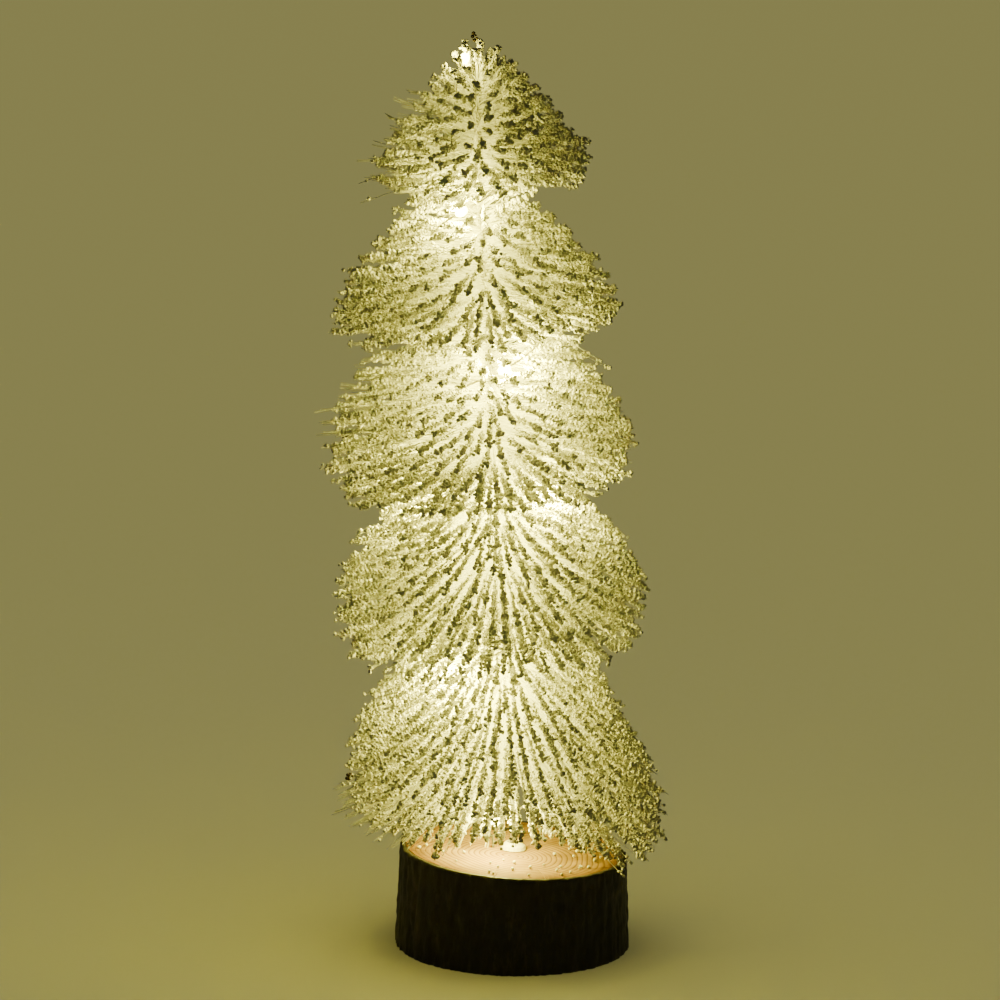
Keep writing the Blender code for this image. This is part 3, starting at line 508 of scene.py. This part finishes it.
# %% How each tier hangs
# How far a bundle falls from the stem to its end, in mm, at each tier's top and at its foot.
FALLS = [(-9.0, 1.0), (-6.0, 4.0), (-5.0, 6.0), (0.0, 22.0), (4.0, 42.0)]
SAGS = [0.02, 0.03, 0.03, 0.05, 0.07]
LEVEL_ON_LEFT = 0.8
FALL_JITTER = 3.0 * MM
ROOT_JITTER = 1.2 * MM
TURN_JITTER = 0.35
BELOW_TIP = 2 * MM
FILAMENTS_IN_BUNDLE = 4
BUNDLE_SPREAD = 0.36 * MM
STEM_GRIP = 1.5 * MM
UNEVEN_BY = 0.10
PAST_OUTLINE = 0.03
CLUMPS = 110.0
CLUMP_DEPTH = 0.09
stem_tip = through(to_stem, head[None])[0, 2]
print("the stem's tip is", round(stem_tip / MM, 1), "mm above the log")


def way_down(tips):
    """How far down its tier each bundle ends, from 0 at the top to 1 at the foot."""
    return (tips[:, 2].max() - tips[:, 2]) / np.ptp(tips[:, 2])


def grow(tips, falls, sag):
    """Start, middle and end of every filament of a tier, as (bundles, filaments, 3) arrays."""
    count = len(tips)
    down = way_down(tips)
    leftward = np.maximum(0.0, -tips[:, 0] / np.hypot(tips[:, 0], tips[:, 1])) ** 2
    fall = (falls[0] + (falls[1] - falls[0]) * down**1.2 * (1 - LEVEL_ON_LEFT * leftward)) * MM
    fall = fall + rng.normal(0, FALL_JITTER, count)
    root_height = np.minimum(tips[:, 2] + fall, stem_tip - BELOW_TIP)
    shape = (count, FILAMENTS_IN_BUNDLE)
    angle = np.arctan2(tips[:, 1], tips[:, 0])[:, None] + rng.normal(0, TURN_JITTER, shape)
    start = np.stack(
        [
            STEM_GRIP * np.cos(angle),
            STEM_GRIP * np.sin(angle),
            root_height[:, None] + rng.normal(0, ROOT_JITTER, shape),
        ],
        -1,
    )
    clumps = np.array([mathutils_noise.noise(Vector(tip) * CLUMPS) for tip in tips])
    uneven = rng.beta(1.2, 4.0, (count, 1, 1)) * UNEVEN_BY
    inset = uneven - PAST_OUTLINE + (clumps * CLUMP_DEPTH)[:, None, None]
    spread = rng.normal(0, BUNDLE_SPREAD, (*shape, 3))
    end = tips[:, None] + spread
    end = end + (start - end) * (inset + rng.uniform(0, 0.05, (*shape, 1)))
    length = np.linalg.norm(end - start, axis=-1)
    middle = (start + end) / 2
    middle[..., 2] += sag * length * 2
    return start, middle, end


# %% [markdown]
# ## The coat
#
# Granules sit on the outer half of each filament, a little off its middle, and crowd towards the tip. On the
# tree's left side the coat has rubbed off some bundles, and their bare ends stand out by a few millimetres.

# %% Bare bundles and the coat
BARE_ENDS = {1: (0.35, 0.98), 3: (0.15, 0.70), 5: (0.60, 1.0)}
NOWHERE = (2.0, 2.0)
BARE_SIDE = math.radians(60)
BARE_SHARE = 0.65
LEFT_ON_BARE = 0.30
COAT_START = 0.50
COAT_CROWDING = 1.45
GRANULES_IN_BUNDLE = 46
GRANULE_RADII = (0.50, 0.80)
GRANULE_SPREAD = 0.34 * MM


def worn_bundles(number, tips):
    """Which bundles have lost most of their coat. It rubs off on the tree's left side."""
    away = np.abs(np.arctan2(tips[:, 1], -tips[:, 0]))
    down = way_down(tips)
    first, last = BARE_ENDS.get(number, NOWHERE)
    rubbed = rng.random(len(tips)) < BARE_SHARE
    return (away < BARE_SIDE) & (down > first) & (down < last) & rubbed


def coat(start, middle, end, worn, rng):
    """Centres, radii and shares along the filament of a tier's granules. Worn bundles keep few of theirs."""
    bundles = len(start)
    shape = (bundles, GRANULES_IN_BUNDLE)
    which = rng.integers(0, FILAMENTS_IN_BUNDLE, shape)
    row = np.arange(bundles)[:, None]
    share = 1 - (1 - COAT_START) * rng.random(shape) ** COAT_CROWDING
    centre = along(start[row, which], middle[row, which], end[row, which], share)
    loose = GRANULE_SPREAD * (0.8 + 0.7 * np.clip((share - 0.85) / 0.15, 0, 1))
    centre = centre + rng.normal(0, 1, (*shape, 3)) * loose[..., None]
    radius = rng.uniform(*GRANULE_RADII, shape) * MM
    kept = ~worn[:, None] | (rng.random(shape) < LEFT_ON_BARE)
    return centre[kept], radius[kept], share[kept]


# %% [markdown]
# ## All five tiers
#
# Each tier becomes one piece of filaments and a few pieces of granules, so that no piece grows too heavy.
# Granules near the tips get the round prototype. Clear filaments cast no shadow here, because real ones this
# thin barely do.

# %% Grow all five tiers
FILAMENT_RADII = (0.12, 0.17)
BARE_TIPS = (3.0, 9.0)
COATED_TIPS = (0.0, 0.8)
ROUND_FROM = 0.80
MOST_FACES = 190_000
for number, (tips, falls, sag) in enumerate(zip(ends, FALLS, SAGS), 1):
    start, middle, end = grow(tips, falls, sag)
    lines = [through(from_stem, part.reshape(-1, 3)) for part in (start, middle, end)]
    thickness = rng.uniform(*FILAMENT_RADII, len(lines[0])) * MM
    worn = worn_bundles(number, tips)
    way = lines[2] - lines[1]
    way /= np.linalg.norm(way, axis=1)[:, None]
    bare_tips = rng.uniform(*BARE_TIPS, len(tips))
    coated_tips = rng.uniform(*COATED_TIPS, len(tips))
    most = np.where(worn, bare_tips, coated_tips) * MM
    beyond = np.repeat(most, FILAMENTS_IN_BUNDLE) * rng.uniform(0.2, 1.0, len(way))
    lines[2] = lines[2] + way * beyond[:, None]
    brush = filaments(f"tier_{number}_filaments", *lines, thickness)
    brush.data.materials.append(clear_plastic)
    brush.visible_shadow = False
    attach(brush, "base")
    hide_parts(TIERS[number - 1])
    centres, radii, share = coat(start, middle, end, worn, rng)
    centres = through(from_stem, centres)
    outer = share > ROUND_FROM
    for label, kind, these in (("outer", round_granule, outer), ("inner", plain_granule, ~outer)):
        room = MOST_FACES // len(kind[1])
        chosen = np.flatnonzero(these)
        for part, first in enumerate(range(0, len(chosen), room)):
            picked = chosen[first : first + room]
            title = f"tier_{number}_{label}_granules_{part}"
            flock = granules(title, kind, centres[picked], radii[picked], rng)
            flock.data.materials.append(foam)
            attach(flock, "base")
    print(TIERS[number - 1], len(lines[0]), "filaments,", len(centres), "granules")

# %% [markdown]
# ## Lights
#
# Each light is a tiny chip sealed in a clear droplet on the wire. The droplet glows, and a small point lamp in
# its middle does the real work of lighting the bristles round it. Droplets cast no shadow, so that the lamp
# inside reaches out. The lamps leave the floor out, or it would be as bright as the tree.

# %% The lit droplets
GLOW_COLOUR = (1.0, 0.90, 0.14)
GLOW_STRENGTH = 60.0
LIGHT_POWER = 0.34
SHARES = {
    "led_1": 0.5,
    "led_2": 1.7,
    "led_3": 2.0,
    "led_4": 1.35,
    "led_5": 1.7,
    "led_6": 1.0,
    "led_7": 0.10,
}
LIGHT_RADIUS = 1.8 * MM
droplet_glow, tree, shader = start_material("lit_droplet", (1.0, 0.95, 0.85), 0.2)
shader.inputs["Emission Color"].default_value = (*GLOW_COLOUR, 1.0)
shader.inputs["Emission Strength"].default_value = GLOW_STRENGTH


def wear(name, finish):
    """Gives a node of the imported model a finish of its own."""
    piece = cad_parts[name]
    piece.data.materials.clear()
    piece.data.materials.append(finish)
    return piece


all_but_floor = bpy.data.collections.new("all_but_floor")
all_but_floor.objects.link(floor)
all_but_floor.collection_objects[0].light_linking.link_state = "EXCLUDE"
lights = [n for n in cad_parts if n.startswith("led_")]
for name in lights:
    droplet = wear(name, droplet_glow)
    droplet.visible_shadow = False
    light = bpy.data.lights.new(f"{name}_lamp", "POINT")
    light.energy = LIGHT_POWER * SHARES[name]
    light.color = GLOW_COLOUR
    light.shadow_soft_size = LIGHT_RADIUS
    lamp = bpy.data.objects.new(f"{name}_lamp", light)
    low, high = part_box(name)
    lamp.location = (low + high) / 2
    lamp.light_linking.receiver_collection = all_but_floor
    scene.collection.objects.link(lamp)
print(len(lights), "lights")

# %% [markdown]
# ## The log's wood
#
# The base is a slice of birch with its bark on. The saw leaves a flat top with growth rings, and as the slice
# dries, thin cracks open from the rim towards the middle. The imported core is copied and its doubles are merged.
# A narrow bevel softens the sawn rim, and then wedges cut the cracks.

# %% Copy the core and cut its cracks
CRACKS = 15
CRACK_DEPTH = 1.2 * MM
CRACK_WIDTH = 0.5 * MM
RIM_BEVEL = 0.5 * MM


def merged_copy(name, new_name):
    """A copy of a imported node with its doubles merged, ready for mesh tools."""
    shape = bmesh.new()
    shape.from_mesh(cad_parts[name].data)
    bmesh.ops.remove_doubles(shape, verts=shape.verts, dist=0.002 * MM)
    mesh = bpy.data.meshes.new(new_name)
    shape.to_mesh(mesh)
    shape.free()
    piece = bpy.data.objects.new(new_name, mesh)
    scene.collection.objects.link(piece)
    return piece


def settle(piece):
    """Applies a piece's modifiers to its mesh."""
    ready = bpy.data.meshes.new_from_object(piece.evaluated_get(bpy.context.evaluated_depsgraph_get()))
    piece.modifiers.clear()
    piece.data = ready


wood = merged_copy("log_core", "log_wood")
core_low, core_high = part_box("log_core")
core_radius = (core_high.x - core_low.x) / 2
crack_rng = np.random.default_rng(4)
wedges = bmesh.new()
for index in range(CRACKS):
    angle = 2 * math.pi * (index + crack_rng.uniform(-0.35, 0.35)) / CRACKS
    length = core_radius * crack_rng.uniform(0.10, 0.42)
    wedge = bmesh.ops.create_cone(
        wedges,
        cap_ends=True,
        segments=3,
        radius1=0.02 * MM,
        radius2=CRACK_WIDTH * crack_rng.uniform(0.5, 1.0),
        depth=length,
    )
    deep = crack_rng.uniform(0.5, 1.0) * CRACK_DEPTH
    out = core_radius + 1.0 * MM - length / 2
    rise = math.cos(angle) * out * top_slope
    place = (
        Matrix.Translation((math.cos(angle) * out, math.sin(angle) * out, log_top + rise))
        @ Matrix.Rotation(angle + crack_rng.uniform(-0.12, 0.12), 4, "Z")
        @ Matrix.Diagonal((1.0, 1.0, deep / CRACK_WIDTH * 2, 1.0))
        @ Matrix.Rotation(math.pi / 2, 4, "Y")
    )
    bmesh.ops.transform(wedges, matrix=place, verts=wedge["verts"])
wedge_mesh = bpy.data.meshes.new("crack_wedges")
wedges.to_mesh(wedge_mesh)
wedges.free()
cutter = bpy.data.objects.new("crack_wedges", wedge_mesh)
scene.collection.objects.link(cutter)
rim = wood.modifiers.new("rim", "BEVEL")
rim.width = RIM_BEVEL
rim.segments = 2
rim.limit_method = "ANGLE"
rim.angle_limit = math.radians(60)
settle(wood)
cracks = wood.modifiers.new("cracks", "BOOLEAN")
cracks.object = cutter
cracks.solver = "EXACT"
settle(wood)
bpy.data.objects.remove(cutter)
print("log wood has", len(wood.data.polygons), "faces")

# %% [markdown]
# ## Growth rings
#
# Rings are a wave that runs outwards from the pith. A noise bends them, since no tree grows in true circles,
# and a second noise leaves darker blotches. The wood darkens to orange-brown under the bark.

# %% Wood material
RING_SPACING = 1.9 * MM
PITH = (-4.0 * MM, 3.0 * MM, 0.0)
RING_BEND = 10 * MM
WOOD_SHINE = 0.2
DARK_RIM = (0.14, 0.058, 0.012, 1.0)
RIM_FROM = 0.78
ring_wood, tree, shader = start_material("ringed_wood", (0.6, 0.35, 0.1), 0.75)
shader.inputs["Specular IOR Level"].default_value = WOOD_SHINE
place = node(tree, "ShaderNodeTexCoord")
bend = node(tree, "ShaderNodeTexNoise", scale=30.0, detail=1.0)
tree.links.new(place.outputs["Object"], bend.inputs["Vector"])
bent = node(tree, "ShaderNodeVectorMath", operation="MULTIPLY_ADD")
bent.inputs[1].default_value = (RING_BEND, RING_BEND, 0.0)
tree.links.new(bend.outputs["Color"], bent.inputs[0])
tree.links.new(place.outputs["Object"], bent.inputs[2])
centred = node(tree, "ShaderNodeMapping")
centred.inputs["Location"].default_value = PITH
tree.links.new(bent.outputs["Vector"], centred.inputs["Vector"])
rings = node(tree, "ShaderNodeTexWave", wave_type="RINGS", rings_direction="Z", wave_profile="SAW")
rings.inputs["Scale"].default_value = 2 * math.pi / (20 * RING_SPACING)
rings.inputs["Distortion"].default_value = 1.2
rings.inputs["Detail Scale"].default_value = 0.5
tree.links.new(centred.outputs["Vector"], rings.inputs["Vector"])
ring_tone = ramp(
    tree,
    rings.outputs["Fac"],
    [
        (0.0, (0.40, 0.26, 0.075)),
        (0.55, (0.36, 0.225, 0.062)),
        (0.88, (0.12, 0.055, 0.012)),
        (1.0, (0.38, 0.25, 0.07)),
    ],
)
blotches = ramp(tree, noise(tree, 90, 4.0), [(0.3, (0.72, 0.66, 0.55)), (0.7, (1.0, 1.0, 1.0))])
patchy = node(tree, "ShaderNodeMixRGB", blend_type="MULTIPLY")
patchy.inputs["Fac"].default_value = 0.8
tree.links.new(ring_tone, patchy.inputs["Color1"])
tree.links.new(blotches, patchy.inputs["Color2"])
flat = node(tree, "ShaderNodeVectorMath", operation="MULTIPLY")
flat.inputs[1].default_value = (1.0, 1.0, 0.0)
tree.links.new(place.outputs["Object"], flat.inputs[0])
far = node(tree, "ShaderNodeVectorMath", operation="LENGTH")
tree.links.new(flat.outputs["Vector"], far.inputs[0])
edge = node(tree, "ShaderNodeMapRange")
edge.inputs["From Min"].default_value = core_radius * RIM_FROM
edge.inputs["From Max"].default_value = core_radius
tree.links.new(far.outputs["Value"], edge.inputs["Value"])
rimmed = node(tree, "ShaderNodeMixRGB", blend_type="MIX")
rimmed.inputs["Color2"].default_value = DARK_RIM
tree.links.new(edge.outputs["Result"], rimmed.inputs["Fac"])
tree.links.new(patchy.outputs["Color"], rimmed.inputs["Color1"])
tree.links.new(rimmed.outputs["Color"], shader.inputs["Base Color"])
saw_marks = noise(tree, 900, 3.0, stretch=(1.0, 0.12, 1.0))
bump(tree, shader, saw_marks, 0.25, 0.0003)
wood.data.materials.clear()
wood.data.materials.append(ring_wood)
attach(wood, "base")
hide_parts("log_core")
print("wood finished")

# %% [markdown]
# ## Bark
#
# Birch bark of this age is nearly black, with shallow upright furrows, cross cracks and a broken upper edge. A
# strip with one side towards the wood is spun round the axis, which gives a closed ring. Every point then moves
# out from the wood, as far as the furrows say. The distance to the wood is measured by casting rays at it.

# %% Spin the bark and carve its furrows
BARK_THICKNESS = 1.9 * MM
BARK_GAP = 0.06 * MM
BARK_TURNS = 300
BARK_LEVELS = 26
FURROW_DEPTH = 1.1 * MM
RIDGE_HEIGHT = 0.35 * MM
BROKEN_EDGE = 0.5 * MM
LOWEST_RAY = 0.3 * MM
RAYS_BELOW_TOP = 2.6 * MM
core_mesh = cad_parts["log_core"].data
core_tree = BVHTree.FromPolygons([v.co for v in core_mesh.vertices], [f.vertices for f in core_mesh.polygons])
bark_shape = bmesh.new()
outside = [bark_shape.verts.new((1.0, 0, level / BARK_LEVELS)) for level in range(BARK_LEVELS + 1)]
inside = [bark_shape.verts.new((0.5, 0, level)) for level in (1.0, 0.0)]
loop = outside + inside
strip = [bark_shape.edges.new((a, b)) for a, b in zip(loop, loop[1:] + loop[:1])]
bmesh.ops.spin(
    bark_shape,
    geom=loop + strip,
    axis=(0, 0, 1),
    cent=(0, 0, 0),
    angle=2 * math.pi,
    steps=BARK_TURNS,
    use_merge=True,
)
bmesh.ops.remove_doubles(bark_shape, verts=bark_shape.verts, dist=1e-4)
bmesh.ops.recalc_face_normals(bark_shape, faces=bark_shape.faces)


def furrows(direction, height):
    """How deep the bark is carved at a place, from 0 to 1."""
    around = Vector((direction.x * 9.0, direction.y * 9.0, height / MM * 0.035))
    upright = 1.0 - abs(mathutils_noise.fractal(around, 0.8, 2.1, 4)) * 2.2
    crossing = mathutils_noise.noise(Vector((direction.x * 5.0, direction.y * 5.0, height / MM * 0.30)))
    grain = mathutils_noise.noise(Vector((direction.x * 40.0, direction.y * 40.0, height / MM * 0.5)))
    return max(0.0, min(1.0, 0.28 + 0.65 * max(0.0, upright) ** 1.5 + 0.35 * crossing + 0.15 * grain))


for vert in bark_shape.verts:
    direction = Vector((vert.co.x, vert.co.y, 0)).normalized()
    outer = vert.co.xy.length > 0.75
    level = vert.co.z
    reach = direction * 2 * core_radius
    probe = Vector((0, 0, LOWEST_RAY + level * (log_top - RAYS_BELOW_TOP)))
    hit = core_tree.ray_cast(reach + probe, -direction)[0]
    radius = hit.xy.length
    top = log_top + top_slope * direction.x * radius
    chips = mathutils_noise.noise(Vector((direction.x * 11, direction.y * 11, 3.0)))
    broken = chips * BROKEN_EDGE if outer else 0.0
    height = level * (top - max(0.0, broken))
    if outer:
        radius += BARK_THICKNESS + RIDGE_HEIGHT - FURROW_DEPTH * furrows(direction, height)
    else:
        radius += BARK_GAP
    vert.co = direction * radius + Vector((0, 0, height))
bark_mesh = bpy.data.meshes.new("furrowed_bark")
bark_shape.to_mesh(bark_mesh)
bark_shape.free()
bark_mesh.shade_smooth()
bark = bpy.data.objects.new("furrowed_bark", bark_mesh)
scene.collection.objects.link(bark)
black_bark, tree, shader = start_material("black_bark", (0.01, 0.01, 0.01), 0.62)
tones = ramp(
    tree,
    noise(tree, 260, 5.0, 0.6, (1.0, 1.0, 0.25)),
    [(0.3, (0.007, 0.006, 0.005)), (0.55, (0.026, 0.022, 0.017)), (0.75, (0.085, 0.072, 0.055))],
)
tree.links.new(tones, shader.inputs["Base Color"])
bump(tree, shader, noise(tree, 1400, 4.0, 0.6, (1.0, 1.0, 0.4)), 0.5, 0.0004)
bark.data.materials.append(black_bark)
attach(bark, "base")
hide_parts("log_bark")
print("bark has", len(bark.data.polygons), "faces")

# %% [markdown]
# ## Strays, fallen granules and dark flecks
#
# A tree like this sheds. Single filaments stand out of the tiers with a few granules left on them, and fallen
# granules lie on the wood. Two bundles carry a clump of dark brown granules. At the apex a tuft of the same dark
# brown granules is painted shade, standing in for shadowed granules at the top. Places are given from the log's
# middle, in millimetres, and each kind reuses the prototypes from above.

# %% Strays, fallen granules and flecks
STRAYS = [
    ((30.5, -6, 207), 4, 5),
    ((27.0, -12, 211), 4, 3),
    ((41.5, -12, 33.5), 5, 4),
    ((45.5, -4, 32.0), 5, 3),
    ((38.0, -20, 31.0), 5, 4),
    ((49.5, -8, 38.0), 5, 2),
    ((-58.5, -6, 47.0), 5, 1),
    ((-54.0, -14, 45.0), 5, 1),
    ((-56.0, 4, 52.0), 5, 1),
    ((-60.0, -2, 57.0), 5, 2),
    ((-58.0, -4, 206.0), 2, 2),
    ((-52.0, -10, 196.0), 2, 1),
    ((-56.5, 2, 262.0), 1, 1),
    ((-57.0, -3, 269.5), 1, 1),
    ((4.0, 40, 200.0), 2, 3),
    ((-20.0, 52, 150.0), 3, 2),
    ((36.0, 40, 46.0), 5, 3),
]
FALLEN = 34
FALLEN_RADII = (0.45, 0.75)
BEAD_RADII = (0.5, 0.75)
STRAY_RADIUS = 0.14 * MM
STRAY_ARCH = 5 * MM
GRANULES_IN_FLECK = 9
GRANULES_IN_TUFT = 7
FLECKS = [(-60.5, -10, 183.5), (-57.5, -14, 63.5)]
FLECK_SPREAD = 0.55 * MM
# The apex tuft is painted shade: dark granules where shadowed granules sit at the top.
APEX = (-18.6, 0, 319.0)
TUFT_SPREAD = 0.5
TUFT_STEP = 0.4
trim_rng = np.random.default_rng(31)


def stray_lines():
    """Curves from the stem to the strays' tips, and the granules near each tip."""
    starts, middles, stops, beads = [], [], [], []
    for place, tier, count in STRAYS:
        stop = np.array(place) * MM
        height = through(to_stem, stop[None])[0, 2]
        falls = FALLS[tier - 1]
        start = through(from_stem, np.array([[0.0, 0.0, height + max(8.0, falls[1]) * 0.8 * MM]]))[0]
        middle = (start + stop) / 2 + np.array([0, 0, STRAY_ARCH])
        starts.append(start)
        middles.append(middle)
        stops.append(stop)
        for share in 1 - np.abs(trim_rng.normal(0, 0.05, count)):
            bead = along(start[None], middle[None], stop[None], np.array([share]))[0]
            beads.append(bead + trim_rng.normal(0, 0.25 * MM, 3))
    return np.array(starts), np.array(middles), np.array(stops), np.array(beads)


starts, middles, stops, beads = stray_lines()
stray = filaments("stray_filaments", starts, middles, stops, np.full(len(starts), STRAY_RADIUS))
stray.data.materials.append(clear_plastic)
angles = trim_rng.uniform(-math.pi, 0.2, FALLEN)
reach = core_radius * np.sqrt(trim_rng.uniform(0.15, 0.80, FALLEN))
lying = np.stack([reach * np.cos(angles), reach * np.sin(angles), np.full(FALLEN, log_top)], -1)
sizes = trim_rng.uniform(*FALLEN_RADII, FALLEN) * MM
lying[:, 2] += lying[:, 0] * top_slope + sizes * 0.85
gathered = np.vstack([beads, lying])
gathered_sizes = np.concatenate([trim_rng.uniform(*BEAD_RADII, len(beads)) * MM, sizes])
shed = granules("loose_granules", round_granule, gathered, gathered_sizes, trim_rng)
shed.data.materials.append(foam)
# One dark brown material serves the clumps on two bundles and the apex tuft. On the tuft it is painted shade.
brown, tree, shader = start_material("dark_fleck_and_painted_shade", (0.05, 0.03, 0.012), 0.7)
fleck_and_shade_tone = ramp(tree, noise(tree, 900), [(0.3, (0.025, 0.015, 0.006)), (0.7, (0.10, 0.055, 0.020))])
tree.links.new(fleck_and_shade_tone, shader.inputs["Base Color"])
clumps = np.repeat(np.array(FLECKS) * MM, GRANULES_IN_FLECK, axis=0)
clumps = clumps + trim_rng.normal(0, FLECK_SPREAD, clumps.shape)
# The tuft at the apex is painted shade: dark granules put where shadowed granules sit.
aside = [trim_rng.normal(0, TUFT_SPREAD, GRANULES_IN_TUFT) for _ in "xy"]
tuft = np.array(APEX) * MM + np.stack([*aside, np.arange(GRANULES_IN_TUFT) * TUFT_STEP], -1) * MM
dark = np.vstack([clumps, tuft])
dark_sizes = trim_rng.uniform(*FALLEN_RADII, len(dark)) * MM
flecks = granules("dark_flecks_and_painted_shade", round_granule, dark, dark_sizes, trim_rng)
flecks.data.materials.append(brown)
for piece in (stray, shed, flecks):
    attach(piece, "base")
print(len(starts), "strays,", FALLEN, "fallen granules,", len(dark), "dark ones")

# %% [markdown]
# ## Wires, case and cells
#
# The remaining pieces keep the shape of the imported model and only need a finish. Each finish has a slight
# change of tone and a fine relief of its own: brushed streaks on metal, and a dull moulded grain on plastic.


# %% Finishes of the working parts
def finish(name, light_tone, dark_tone, roughness, metallic=0.0, grain=500.0, relief=0.15, stretch=(1, 1, 1)):
    """A material whose colour and roughness both follow one noise, with a fine bump."""
    made, tree, shader = start_material(name, light_tone, roughness, metallic)
    pattern = noise(tree, grain, 3.0, 0.55, stretch)
    tone = ramp(tree, pattern, [(0.30, dark_tone), (0.70, light_tone)])
    tree.links.new(tone, shader.inputs["Base Color"])
    rough = node(tree, "ShaderNodeMapRange")
    rough.inputs["To Min"].default_value = min(1.0, roughness * 1.25)
    rough.inputs["To Max"].default_value = roughness * 0.8
    tree.links.new(pattern, rough.inputs["Value"])
    tree.links.new(rough.outputs["Result"], shader.inputs["Roughness"])
    bump(tree, shader, noise(tree, grain * 4, 2.0, 0.5, stretch), relief, 0.0001)
    return made


steel = finish("plated_steel", (0.72, 0.71, 0.68), (0.55, 0.54, 0.52), 0.28, 1.0, 900, 0.10, (1, 1, 0.2))
stem_steel = finish("stem_steel", (0.52, 0.51, 0.48), (0.30, 0.29, 0.27), 0.38, 1.0, 700, 0.15)
tinned_wire = finish("tinned_wire", (0.62, 0.60, 0.52), (0.42, 0.40, 0.34), 0.30, 1.0, 900, 0.10)
glue = finish("set_glue", (0.80, 0.78, 0.66), (0.70, 0.67, 0.52), 0.30, 0.0, 260, 0.30)
black_plastic = finish("black_plastic", (0.030, 0.030, 0.031), (0.020, 0.020, 0.021), 0.48, 0.0, 1200, 0.25)
white_plastic = finish("white_plastic", (0.78, 0.77, 0.73), (0.70, 0.69, 0.64), 0.35, 0.0, 900, 0.12)
black_lead = finish("black_lead", (0.020, 0.020, 0.021), (0.012, 0.012, 0.013), 0.42, 0.0, 900, 0.15)
red_lead = finish("red_lead", (0.42, 0.020, 0.015), (0.28, 0.012, 0.010), 0.42, 0.0, 900, 0.15)
board = finish("green_laminate", (0.022, 0.13, 0.045), (0.015, 0.09, 0.032), 0.40, 0.0, 1500, 0.20)
ceramic = finish("resistor_coat", (0.55, 0.42, 0.26), (0.46, 0.34, 0.20), 0.45, 0.0, 1500, 0.10)
WORN_BY = {
    "stem_wire_a": stem_steel,
    "stem_wire_b": stem_steel,
    "stem_glue": glue,
    "light_string_wire": tinned_wire,
    "wire_joint_sleeve": black_lead,
    "light_lead_positive": red_lead,
    "light_lead_negative": black_lead,
    "battery_lead_positive": red_lead,
    "battery_lead_negative": black_lead,
    "battery_tray": black_plastic,
    "battery_cover": black_plastic,
    "switch_housing": black_plastic,
    "switch_knob": white_plastic,
    "circuit_board": board,
    "resistor": ceramic,
    **{name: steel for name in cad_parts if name.startswith(("contact_", "case_screw", "cover_screw"))},
}
for name, worn in WORN_BY.items():
    wear(name, worn)
print(len(WORN_BY), "working parts have a finish")

# %% [markdown]
# ## A light for the underside
#
# Nothing lights the battery case while the tree stands, but the case is looked at when the tree is turned over.
# A soft light from below is linked to the working parts, the cells and the wood alone, so it doesn't reach the
# bristles.

# %% Light from below
UNDER_STRENGTH = 1.6
UNDER_TURN = math.pi * 0.93
light = bpy.data.lights.new("under_light", "SUN")
light.energy = UNDER_STRENGTH
light.angle = STUDIO_SOFTNESS
lamp = bpy.data.objects.new("under_light", light)
lamp.matrix_world = Matrix.Rotation(UNDER_TURN, 4, "X")
scene.collection.objects.link(lamp)
lit_from_below = bpy.data.collections.new("lit_from_below")
for name in WORN_BY:
    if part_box(name)[1].z < log_top / 2:
        lit_from_below.objects.link(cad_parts[name])
lit_from_below.objects.link(wood)
lamp.light_linking.receiver_collection = lit_from_below

# %% [markdown]
# ## Cells
#
# A cell's jacket is printed foil: one long band of colour and one short band of bare metal at the positive end,
# with the steel ends uncovered. The bands are a ramp along the cell's length, read from its place on the piece.

# %% The cells' jackets
BANDS_FROM = (0.0, 0.04, 0.72, 0.96)
END_STEEL = (0.60, 0.60, 0.58)
JACKET_BLUE = (0.020, 0.085, 0.150)
JACKET_GOLD = (0.62, 0.50, 0.26)
for name in ("battery_1", "battery_2"):
    low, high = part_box(name)
    long_side = max(range(3), key=lambda axis: high[axis] - low[axis])
    jacket, tree, shader = start_material(f"{name}_jacket", (0.03, 0.09, 0.16), 0.3)
    place = node(tree, "ShaderNodeTexCoord")
    split = node(tree, "ShaderNodeSeparateXYZ")
    tree.links.new(place.outputs["Object"], split.inputs["Vector"])
    span = node(tree, "ShaderNodeMapRange")
    span.inputs["From Min"].default_value = low[long_side]
    span.inputs["From Max"].default_value = high[long_side]
    tree.links.new(split.outputs[long_side], span.inputs["Value"])
    bands = ramp(
        tree,
        span.outputs["Result"],
        list(zip(BANDS_FROM, (END_STEEL, JACKET_BLUE, JACKET_GOLD, END_STEEL))),
    )
    bands.node.color_ramp.interpolation = "CONSTANT"
    metal = ramp(tree, span.outputs["Result"], list(zip(BANDS_FROM, map(grey, (1.0, 0.25, 0.8, 1.0)))))
    metal.node.color_ramp.interpolation = "CONSTANT"
    tree.links.new(bands, shader.inputs["Base Color"])
    tree.links.new(metal, shader.inputs["Metallic"])
    bump(tree, shader, noise(tree, 700, 2.0), 0.06, 0.0001)
    lit_from_below.objects.link(wear(name, jacket))
print("cells finished")

# %% [markdown]
#
# The box of the imported model was printed at the start, and the box of everything shown is printed here.
# The looks must not outgrow the imported model.

# %% Sizes and finish
low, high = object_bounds()
print("visual box in mm:", [round(side / MM, 1) for side in high - low])
